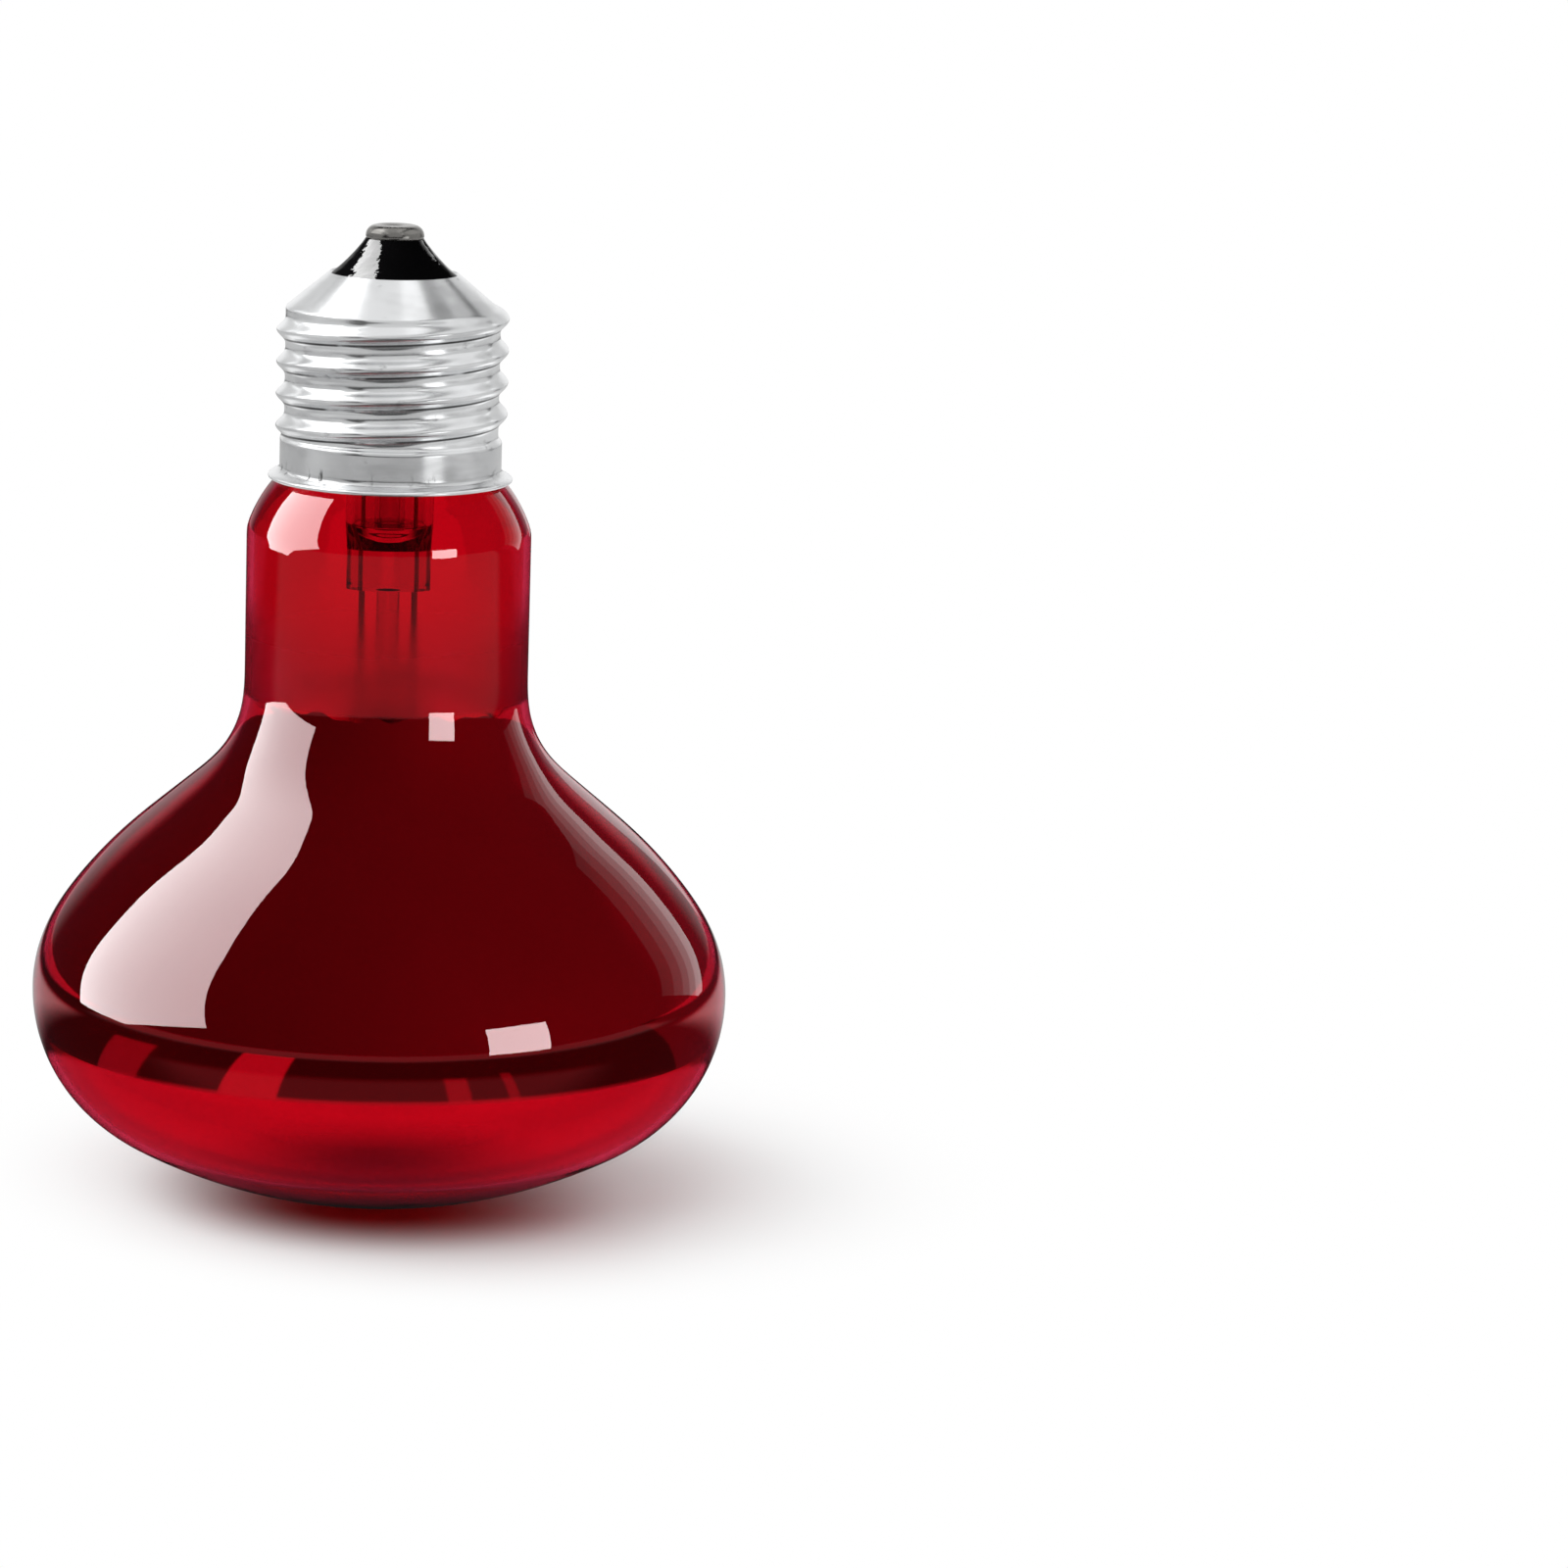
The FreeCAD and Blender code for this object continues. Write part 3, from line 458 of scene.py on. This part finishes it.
def makeCapShell():
    outer = capLine(cap)
    inner = outer - cap["wall"] * outward(outer)
    line = np.vstack([outer, inner[::-1]])
    angle = np.linspace(0, 2 * np.pi, cap["columns"], endpoint=False)[None, :]
    rise = ridgeRise(angle, line[:, 1:2], cap)
    radius = line[:, :1] + rise
    up = np.broadcast_to(line[:, 1:2] + cap["rimHeight"], radius.shape)
    points = np.stack([radius * np.cos(angle), radius * np.sin(angle), up], -1)
    mesh = gridMesh("capShell", points * mm, closeRows=True)
    tidyMesh(mesh, 55.0)
    return addPiece("capShell", mesh, aluminiumPaint(), "cap_shell")


makeCapShell()
print("cap shell made")


# the black glass insulator, in millimetres

insulator = {
    "low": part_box("cap_insulator")[0].z / mm,
    "high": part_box("cap_insulator")[1].z / mm,
    "lip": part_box("cap_shell")[1].z / mm,
    "hole": 0.8,
    "seat": 8.7,
    "mouth": 6.9,
    "top": 3.3,
    "hollow": 22.0,
    "sag": 0.05,          # how far the pressed glass wanders from round
    "columns": 180,
}


def blackGlassPaint():
    material, at = newPaint("blackGlass")
    cloud = at.noise(220.0, 3.0)
    return finishPaint(material, at, {
        "Base Color": cloud.colours((0.0008, 0.0008, 0.001), (0.002, 0.0018, 0.002)),
        "Roughness": at.noise(700.0, 3.0).ramp(0.45, 0.8, 0.03, 0.14),
        "IOR": 1.52,
        "Normal": (at.noise(330.0, 2.0) * 0.8 + at.noise(1400.0) * 0.2).bump(0.0003, 0.6),
    })


def makeInsulator():
    # a cone with hollow sides: an arc from the mouth of the shell up to the contact; between them
    # its radius wanders round the cone as a sum of two sines
    i = insulator
    start, end = np.array([i["mouth"], i["lip"]]), np.array([i["top"], i["high"]])
    chord = end - start
    half = np.hypot(*chord) / 2
    side = np.array([chord[1], -chord[0]]) / (2 * half)
    centre = (start + end) / 2 + side * math.sqrt(i["hollow"] ** 2 - half ** 2)
    first, last = [math.degrees(math.atan2(*(p - centre)[::-1])) for p in (start, end)]
    flank = arc(centre, i["hollow"], first, last, 40)
    line = np.vstack([
        run([i["hole"], i["low"]], [i["seat"], i["low"]], 10),
        run([i["seat"], i["low"]], start, 14)[1:],
        flank[1:],
        run(end, [i["hole"], i["high"]], 12)[1:],
        run([i["hole"], i["high"]], [i["hole"], i["low"]], 10)[1:-1],
    ])
    points = turned(line, i["columns"])
    angle = np.arctan2(points[..., 1], points[..., 0])
    across = np.hypot(points[..., 0], points[..., 1])
    up = points[..., 2]
    free = smoothStep(0.0, 0.6, up - i["lip"]) * smoothStep(0.0, 0.6, i["high"] - up)
    waves = np.sin(2 * angle + 0.7) + 0.5 * np.sin(5 * angle)
    wander = 1 - i["sag"] * free * waves / np.maximum(across, 1.0)
    points[..., :2] *= wander[..., None]
    mesh = gridMesh("capInsulator", points * mm, closeRows=True)
    tidyMesh(mesh)
    return addPiece("capInsulator", mesh, blackGlassPaint(), "cap_insulator")


capInsulator = makeInsulator()
print("insulator made")


# solder: the centre contact and the side joint, in millimetres

button = {
    "low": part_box("contact_solder")[0].z / mm,
    "high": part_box("contact_solder")[1].z / mm,
    "radius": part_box("contact_solder")[1].x / mm,
    "plate": 2.8,
    "plateTop": 0.3,
    "edge": 1.15,
    "dish": 0.16,
    "columns": 128,
}


def solderPaint(name):
    material, at = newPaint(name)
    cloud = at.noise(420.0, 4.0, 0.6)
    colour = cloud.colours((0.14, 0.136, 0.13), (0.36, 0.35, 0.33))
    return finishPaint(material, at, {
        "Base Color": colour,
        "Metallic": 1.0,
        "Roughness": cloud.ramp(0.3, 0.7, 0.14, 0.30),
        "Normal": (cloud * 0.7 + at.noise(1500.0, 2.0) * 0.3).bump(0.0001, 0.5),
    })


def makeButton():
    # a pill of solder: round edge, a shallow dish with a raised curl in the middle
    s = button
    rim = arc([s["radius"] - s["edge"], s["high"] - s["edge"]], s["edge"], -8, 90, 22)
    flat = run([s["radius"] - s["edge"], s["high"]], [0, s["high"]], 26)[1:]
    line = np.vstack([
        run([0, s["low"] + s["plateTop"]], [s["plate"], s["low"] + s["plateTop"]], 8),
        run([s["plate"], s["low"] + s["plateTop"]], [s["plate"], s["low"]], 4)[1:],
        run([s["plate"], s["low"]], [s["radius"] - 0.12, s["low"]], 5)[1:],
        rim,
        flat,
    ])
    points = turned(line, s["columns"])
    across = np.hypot(points[..., 0], points[..., 1])
    angle = np.arctan2(points[..., 1], points[..., 0])
    share = across / (s["radius"] - s["edge"])
    onTop = points[..., 2] > s["high"] - 0.02
    curl = np.cos(angle - 5.0 * share) * np.sin(np.pi * np.clip(share, 0, 1))
    dish = -s["dish"] * (1 - np.clip(share, 0, 1) ** 2) * (1 + 0.5 * curl)
    points[..., 2] += np.where(onTop, dish, 0)
    mesh = gridMesh("contactButton", points * mm)
    tidyMesh(mesh)
    return addPiece("contactButton", mesh, solderPaint("contactSolder"), "contact_solder")


sideBlob = {
    "radius": 1.4,
    "rise": 0.8,
    "reach": 10.2,
    "coneRun": cap["core"] - cap["mouth"],
    "coneRise": cap["lip"] - cap["coreTop"],
    "columns": 64,
}


def makeSideSolder():
    # a low dome, square to the cone behind, with a lumpy outline
    s = sideBlob
    share = np.linspace(0, 1, 20)
    dome = np.stack([s["radius"] * np.sin(share * np.pi / 2), s["rise"] * np.cos(share * np.pi / 2)], -1)
    under = run([s["radius"], 0], [0, 0], 8)[1:]
    points = turned(np.vstack([dome, under]), s["columns"])
    angle = np.arctan2(points[..., 1], points[..., 0])
    points[..., :2] *= (1 - 0.05 * (1 + np.sin(3 * angle)))[..., None]
    lean = math.atan2(s["coneRise"], s["coneRun"])
    up = cap["rimHeight"] + cap["lip"] - (s["reach"] - cap["mouth"]) * s["coneRise"] / s["coneRun"]
    place = Matrix.Translation((0, s["reach"], up)) @ Matrix.Rotation(-lean, 4, "X")
    turn, shift = np.array(place.to_3x3()), np.array(place.translation)
    mesh = gridMesh("sideSolder", (points @ turn.T + shift) * mm)
    tidyMesh(mesh)
    return addPiece("sideSolder", mesh, solderPaint("sideSolder"), "side_solder")


makeButton()
makeSideSolder()
print("solder made")


# the filament, in millimetres

coil = {
    "radius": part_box("filament")[1].x / mm - 0.6,
    "height": (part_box("filament")[0].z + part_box("filament")[1].z) / 2 / mm,
    "coilRadius": 0.52,
    "wireRadius": 0.075,
    "turns": 92,
    "steps": 16,
    "sides": 8,
    "spread": 196.0,
}


def wirePaint(name, dark, bright, rough):
    material, at = newPaint(name)
    cloud = at.noise(500.0, 3.0)
    return finishPaint(material, at, {
        "Base Color": cloud.colours(dark, bright),
        "Metallic": 1.0,
        "Roughness": cloud.ramp(0.3, 0.7, rough, rough + 0.12),
    })


def makeFilament():
    # a fine wire wound round an arc: the coil's angle grows evenly along the arc
    c = coil
    share = np.linspace(0, 1, c["turns"] * c["steps"])
    along = np.radians(-90 + c["spread"] * (share - 0.5))
    wound = 2 * np.pi * c["turns"] * share
    out = np.stack([np.cos(along), np.sin(along), np.zeros_like(along)], -1)
    upWay = np.array([0, 0, 1.0])
    lead = np.cos(wound)[:, None] * out + np.sin(wound)[:, None] * upWay
    centre = c["radius"] * out + c["coilRadius"] * lead + np.array([0, 0, c["height"]])
    forward = np.gradient(centre, axis=0)
    forward /= np.linalg.norm(forward, axis=1, keepdims=True)
    side = np.cross(forward, lead)
    turn = np.linspace(0, 2 * np.pi, c["sides"], endpoint=False)[None, :, None]
    ring = np.cos(turn) * lead[:, None] + np.sin(turn) * side[:, None]
    points = centre[:, None] + c["wireRadius"] * ring
    mesh = gridMesh("filamentCoil", points * mm)
    tidyMesh(mesh)
    paint = wirePaint("tungsten", (0.16, 0.15, 0.15), (0.30, 0.29, 0.28), 0.3)
    return addPiece("filamentCoil", mesh, paint, "filament")


makeFilament()
print("filament made")


# pieces kept from the frame

def clearGlassPaint():
    material, at = newPaint("stemGlass")
    cloud = at.noise(150.0, 2.0)
    return finishPaint(material, at, {
        "Base Color": cloud.colours((0.86, 0.90, 0.88), (0.95, 0.97, 0.96)),
        "Roughness": cloud.ramp(0.3, 0.7, 0.02, 0.08),
        "IOR": 1.5,
        "Transmission Weight": 1.0,
    })


def cementPaint():
    material, at = newPaint("cement")
    grain = at.noise(1200.0, 4.0, 0.7)
    return finishPaint(material, at, {
        "Base Color": grain.colours((0.42, 0.38, 0.32), (0.62, 0.57, 0.50)),
        "Roughness": grain.ramp(0.3, 0.7, 0.8, 0.95),
        "Normal": grain.bump(0.0001, 0.5),
    })


stemGlass = clearGlassPaint()
copper = wirePaint("copperWire", (0.50, 0.24, 0.14), (0.72, 0.38, 0.24), 0.25)
nickel = wirePaint("nickelWire", (0.42, 0.41, 0.38), (0.60, 0.58, 0.55), 0.25)
molybdenum = wirePaint("supportWire", (0.34, 0.34, 0.35), (0.52, 0.52, 0.53), 0.25)
brass = wirePaint("contactBrass", (0.55, 0.42, 0.18), (0.72, 0.58, 0.28), 0.25)
kept = {
    "stem": (stemGlass, "stem_glass"),
    "exhaust_tube": (stemGlass, "stem_glass"),
    "support_rod": (stemGlass, "stem_glass"),
    "seal_wire_left": (copper, "copper_wire"),
    "seal_wire_right": (copper, "copper_wire"),
    "centre_lead": (copper, "copper_wire"),
    "side_lead": (copper, "copper_wire"),
    "inner_lead_left": (nickel, "nickel_wire"),
    "inner_lead_right": (nickel, "nickel_wire"),
    "filament_support_1": (molybdenum, "support_wire"),
    "filament_support_2": (molybdenum, "support_wire"),
    "filament_support_3": (molybdenum, "support_wire"),
    "contact_plate": (brass, "contact_brass"),
    "cap_cement": (cementPaint(), "cement"),
}
for name, (material, slot) in kept.items():
    nodes[name].data.materials.clear()
    nodes[name].data.materials.append(material)
print("kept nodes painted")


# table, light and camera, in metres

floorShape = {
    "radius": 1.2,
    "rows": 90,
    "columns": 120,
    "shade": (0.014, 0.014, 0.0),
    "litTo": 0.022,       # lit as it is this far round the shade, then it runs out to plain white
    "whiteFrom": 0.064,
    "underTo": 0.002,     # through the glass it glows with a painted shadow: dark under the face, it grows to white,
    "underFrom": 0.030,
    "underFront": 0.008,  # this much further out in front,
    "brightTo": 0.064,    # then dim in front of the bulb, as painted shade, and white again behind it
    "dimFrom": 0.069,
    # with painted bright patches in the dim part: from bearing, to bearing, as far as, how bright
    "patches": [(-42, -25, 0.30, 0.8), (-86, -68, 0.16, 0.4), (17, 24, 0.11, 0.4), (33, 37, 0.12, 0.3),
                (95, 150, 0.80, 0.15)],
    "redTo": 0.012,       # painted red light from the glass tints its colour close to the face
    "redFrom": 0.030,
    "pinkTo": 0.055,
}


def floorPaint():
    # lit as it is round the bulb, with painted red light close to the face, and plain white further out;
    # mirrored on the glass it glows as a faint painted veil, and through the glass as a white ring with a
    # painted shadow under the face, a dim part in front with painted bright patches and a white sheet
    # behind
    f = floorShape
    material, at = newPaint("floorWhite")
    material.cycles.emission_sampling = "NONE"
    across = at.axis("X")
    ahead = at.axis("Y")
    reach = at.node("ShaderNodeVectorMath", "Value", {0: at.stretched(1, 1, 0)}, operation="LENGTH")
    aside = at.node("ShaderNodeVectorMath", "Value", {0: at, 1: f["shade"]}, operation="DISTANCE")
    bearing = at.math("ARCTAN2", across, 0 - ahead) * (180 / math.pi)
    path = at.tree.nodes.new("ShaderNodeLightPath").outputs
    seen = Link(at.tree, path["Is Camera Ray"])
    glossy = Link(at.tree, path["Is Glossy Ray"])
    through = Link(at.tree, path["Is Transmission Ray"])
    grain = at.noise(90.0, 3.0)
    # painted red light: the colour turns red close to the face and pinkish a little further out
    redLightFade = reach.ramp(f["redTo"], f["redFrom"])
    pink = reach.ramp(f["redTo"], f["pinkTo"]) * (0.95 + grain * 0.1)
    pale = pink.colours((0.86, 0.72, 0.72), (0.88, 0.88, 0.88))
    redLightColours = {0: redLightFade, 6: (0.42, 0.014, 0.014, 1.0), 7: pale}
    lit = at.node("ShaderNodeBsdfPrincipled", 0, {
        "Base Color": at.node("ShaderNodeMix", 2, redLightColours, data_type="RGBA"),
        "Roughness": grain.ramp(0.3, 0.7, 0.30, 0.36),
        "Specular IOR Level": 0.2,
    })
    # painted light: bright patches in what the glass sees of the floor
    patch = 0
    for low, high, far, bright in f["patches"]:
        sector = bearing.ramp(low, low + 1) * bearing.ramp(high, high - 1)
        patch = patch + bright * sector * reach.ramp(far, 0.9 * far)
    outer = reach.ramp(f["brightTo"], f["dimFrom"])
    # painted shadow: seen through the glass, the floor is dark under the face
    near = (reach - f["underFront"] * ahead.ramp(0.0, -0.015)).ramp(f["underTo"], f["underFrom"])
    sheet = ahead.ramp(0.20, 0.28) * (0.8 + 0.2 * across.ramp(-0.0215, -0.0195) * across.ramp(0.028, 0.026))
    clear = near * (1 - outer * (1 - sheet) * (0.94 - patch))
    # painted light: the faint veil mirrored on the glass, brighter in a band in front
    band = ahead.ramp(-0.03, -0.06) * (1 - reach.ramp(0.096, 0.112))
    veil = 0.1 * band + 0.2 * ahead.ramp(0.10, 0.04) * reach.ramp(0.25, 0.35)
    veil = 0.01 + outer * (veil + 0.5 * ahead.ramp(0.04, 0.09) * reach.ramp(0.23, 0.17))
    # the floor glows, though it is no lamp: plain white to the camera, painted light and shade to the glass
    glow = seen.math("MAXIMUM", seen, glossy * veil + through * clear)
    plain = at.node("ShaderNodeBsdfPrincipled", 0, {
        "Base Color": (0, 0, 0, 1),
        "Specular IOR Level": 0.0,
        "Emission Color": glow.colours((0, 0, 0), (1, 1, 1)),
        "Emission Strength": 1.0,
    })
    share = seen * aside.ramp(f["litTo"], f["whiteFrom"]) * redLightFade + glossy + through
    both = at.node("ShaderNodeMixShader", 0, {0: share, 1: lit, 2: plain})
    output = at.tree.nodes.new("ShaderNodeOutputMaterial")
    at.tree.links.new(both.socket, output.inputs["Surface"])
    return material


def makeFloor():
    # a flat disc under the bulb, from rings that grow outwards
    rings = np.linspace(0, 1, floorShape["rows"])[:, None] ** 2 * floorShape["radius"]
    line = np.hstack([rings, np.zeros_like(rings)])
    mesh = gridMesh("floorDisc", turned(line, floorShape["columns"]))
    tidyMesh(mesh)
    floor = bpy.data.objects.new("floorDisc", mesh)
    bpy.context.scene.collection.objects.link(floor)
    mesh.materials.append(floorPaint())


studio = {
    "behind": (0.82, 0.97),   # the part of a direction along Y from which it is white
    "skyline": (0.08, 0.2),   # and along Z, for what is seen through the glass
    "mirrored": 0.35,         # how bright the white part looks on shiny pieces
    "fill": 0.45,             # how bright the rest is to matt pieces,
    "dark": 0.01,             # to shiny ones
    "through": 0.17,          # and through the glass
}


def makeWorld(w):
    # white behind the bulb and dark in front, as a studio is; the camera sees plain white
    world = bpy.data.worlds.new("studio")
    bpy.context.scene.world = world
    world.use_nodes = True
    tree = world.node_tree
    tree.nodes.clear()
    way = Link(tree, tree.nodes.new("ShaderNodeTexCoord").outputs["Generated"])
    path = tree.nodes.new("ShaderNodeLightPath").outputs
    seen = Link(tree, path["Is Camera Ray"])
    diffuse = Link(tree, path["Is Diffuse Ray"])
    through = Link(tree, path["Is Transmission Ray"])
    behind = way.axis("Y").ramp(*w["behind"])
    corner = way.axis("X").ramp(0.2, 0.5) * way.axis("Y").ramp(0.3, 0.55) * way.axis("Z").ramp(0.62, 0.5)
    dim = w["through"] + 0.06 * way.axis("X") + 0.1 * corner
    front = w["dark"] + through * dim + diffuse * w["fill"]
    full = diffuse + through * way.axis("Z").ramp(*w["skyline"])
    white = w["mirrored"] + (1 - w["mirrored"]) * full
    strength = behind.math("MAXIMUM", seen, behind * white + front * (1 - behind))
    light = way.node("ShaderNodeBackground", 0, {"Color": (1, 1, 1, 1), "Strength": strength})
    output = tree.nodes.new("ShaderNodeOutputWorld")
    tree.links.new(light.socket, output.inputs["Surface"])


# onGlass is how bright a softbox looks mirrored in glass, onRest how bright it is to all else; roll
# turns it about the way it faces, in degrees
softboxes = {
    "left": {
        "at": (-0.47, 0.15, 0.68),
        "aim": (0, 0.15, 0.68),
        "size": (0.50, 1.4),
        "roll": 19.0,
        "onGlass": 11.0,
    },
    "leftUpper": {        # ends higher than the left box, so that the cap's skirt stays dull
        "at": (-0.47, 0.15, 0.82),
        "aim": (0, 0.15, 0.82),
        "size": (0.50, 1.1),
        "roll": 19.0,
        "onRest": 1.3,
    },
    "frontRight": {
        "at": (0.42, -0.42, 0.07),
        "aim": (0, 0, 0.05),
        "size": (0.22, 0.26),
        "onGlass": 15.0,
        "onRest": 1.5,
    },
    "backRight": {        # pales the right edge of the glass
        "at": (0.13, 0.62, 0.10),
        "aim": (0.05, 0, 0.08),
        "size": (0.24, 0.22),
        "onGlass": 0.5,
    },
    "leftWide": {
        "at": (-0.6, 0, 0.42),
        "aim": (0, 0, 0.1),
        "size": (1.3, 0.9),
        "onRest": 0.55,
    },
    "rightWide": {
        "at": (0.6, -0.05, 0.42),
        "aim": (0, 0, 0.1),
        "size": (1.2, 0.9),
        "onRest": 0.6,
    },
    "top": {
        "at": (-0.25, 0, 1.1),
        "aim": (-0.25, 0, 0),
        "size": (1.2, 1.2),
        "onRest": 0.78,
    },
    "rightHigh": {
        "at": (0.60, 0, 0.95),
        "aim": (0, 0, 0.1),
        "size": (0.9, 1.2),
        "onRest": 0.28,
    },
    "back": {             # lights the edges of the cap
        "at": (0, 0.9, 0.38),
        "aim": (0, 0, 0.09),
        "size": (2.2, 0.8),
        "onRest": 0.6,
    },
    "card": {             # the cards lie on the floor and face up
        "at": (0, -0.55, 0.012),
        "aim": (0, -0.55, 1),
        "size": (1.2, 0.7),
        "onRest": 0.35,
    },
    "cardLeft": {
        "at": (-0.4, 0.25, 0.012),
        "aim": (-0.4, 0.25, 1),
        "size": (0.7, 0.9),
        "onRest": 0.5,
    },
    "cardRight": {
        "at": (0.4, 0.25, 0.012),
        "aim": (0.4, 0.25, 1),
        "size": (0.7, 0.9),
        "onRest": 0.6,
    },
    "front": {
        "at": (0, -1.0, 0.75),
        "aim": (0, 0, 0.08),
        "size": (1.4, 1.2),
        "onRest": 0.6,
    },
}


# the shine down the right shoulder grows towards its outer edge: boxes of several widths share that
# edge, and each adds its brightness
rightStrip = {
    "edge": (0.3524, 0.4028, 0.1641),
    "outward": (-0.418, 0.787, -0.454),
    "facing": (-0.39, -0.207, 0),
    "length": 0.40,
    "roll": -27.0,
    "widths": (0.24, 0.18, 0.13, 0.09, 0.05),
    "adds": (0.15, 0.2, 0.3, 0.4, 0.6),
}
for step, (width, bright) in enumerate(zip(rightStrip["widths"], rightStrip["adds"])):
    middle = Vector(rightStrip["edge"]) - Vector(rightStrip["outward"]) * width / 2
    softboxes[f"rightStrip{step}"] = {
        "at": middle,
        "aim": middle + Vector(rightStrip["facing"]),
        "size": (width, rightStrip["length"]),
        "roll": rightStrip["roll"],
        "onGlass": bright,
    }


def makeSoftbox(name, box, key, pieces, state):
    # a lamp that lights only the pieces, or all but them; what lies behind glass doesn't see it,
    # so that the film stays dark beside the shine on the glass
    lamp = bpy.data.lights.new(name + key, "AREA")
    lamp.shape = "RECTANGLE"
    lamp.size, lamp.size_y = box["size"]
    lamp.energy = box[key] * math.pi * lamp.size * lamp.size_y
    holder = bpy.data.objects.new(name + key, lamp)
    holder.visible_transmission = False
    bpy.context.scene.collection.objects.link(holder)
    receivers = bpy.data.collections.new(name + key)
    for piece in pieces:
        receivers.objects.link(piece)
    for entry in receivers.collection_objects:
        entry.light_linking.link_state = state
    holder.light_linking.receiver_collection = receivers
    way = Vector(box["aim"]) - Vector(box["at"])
    turn = way.to_track_quat("-Z", "Y") @ Quaternion((0, 0, 1), math.radians(box.get("roll", 0.0)))
    holder.matrix_world = Matrix.Translation(box["at"]) @ turn.to_matrix().to_4x4()


camera = {
    "back": 0.66405,
    "high": 0.18568,
    "pan": 3.968,
    "pitch": 11.588,
    "roll": 1.909,
    "lens": 135.0,
    "sensor": 36.0,
}


def makeCamera(c):
    # the photo's viewing angle: from in front and a little above, turned by pan, pitch and roll
    pan, pitch, roll = (math.radians(c[key]) for key in ("pan", "pitch", "roll"))
    forward = Vector((math.sin(pan) * math.cos(pitch), math.cos(pan) * math.cos(pitch), -math.sin(pitch)))
    right = forward.cross(Vector((0, 0, 1))).normalized()
    up = right.cross(forward)
    turnedRight = right * math.cos(roll) + up * math.sin(roll)
    turnedUp = up * math.cos(roll) - right * math.sin(roll)
    turn = Matrix((turnedRight, turnedUp, -forward)).transposed().to_4x4()
    lens = bpy.data.cameras.new("photoView")
    lens.lens = c["lens"]
    lens.sensor_width = c["sensor"]
    lens.clip_start = 0.01
    holder = bpy.data.objects.new("photoView", lens)
    bpy.context.scene.collection.objects.link(holder)
    holder.matrix_world = Matrix.Translation((0, -c["back"], c["high"])) @ turn
    bpy.context.scene.camera = holder


makeFloor()
makeWorld(studio)
shiny = [glassBulb, capInsulator]
for name, box in softboxes.items():
    for key, state in (("onGlass", "INCLUDE"), ("onRest", "EXCLUDE")):
        if key in box:
            makeSoftbox(name, box, key, shiny, state)
makeCamera(camera)
bpy.context.scene.view_settings.view_transform = "Standard"
print("studio made")
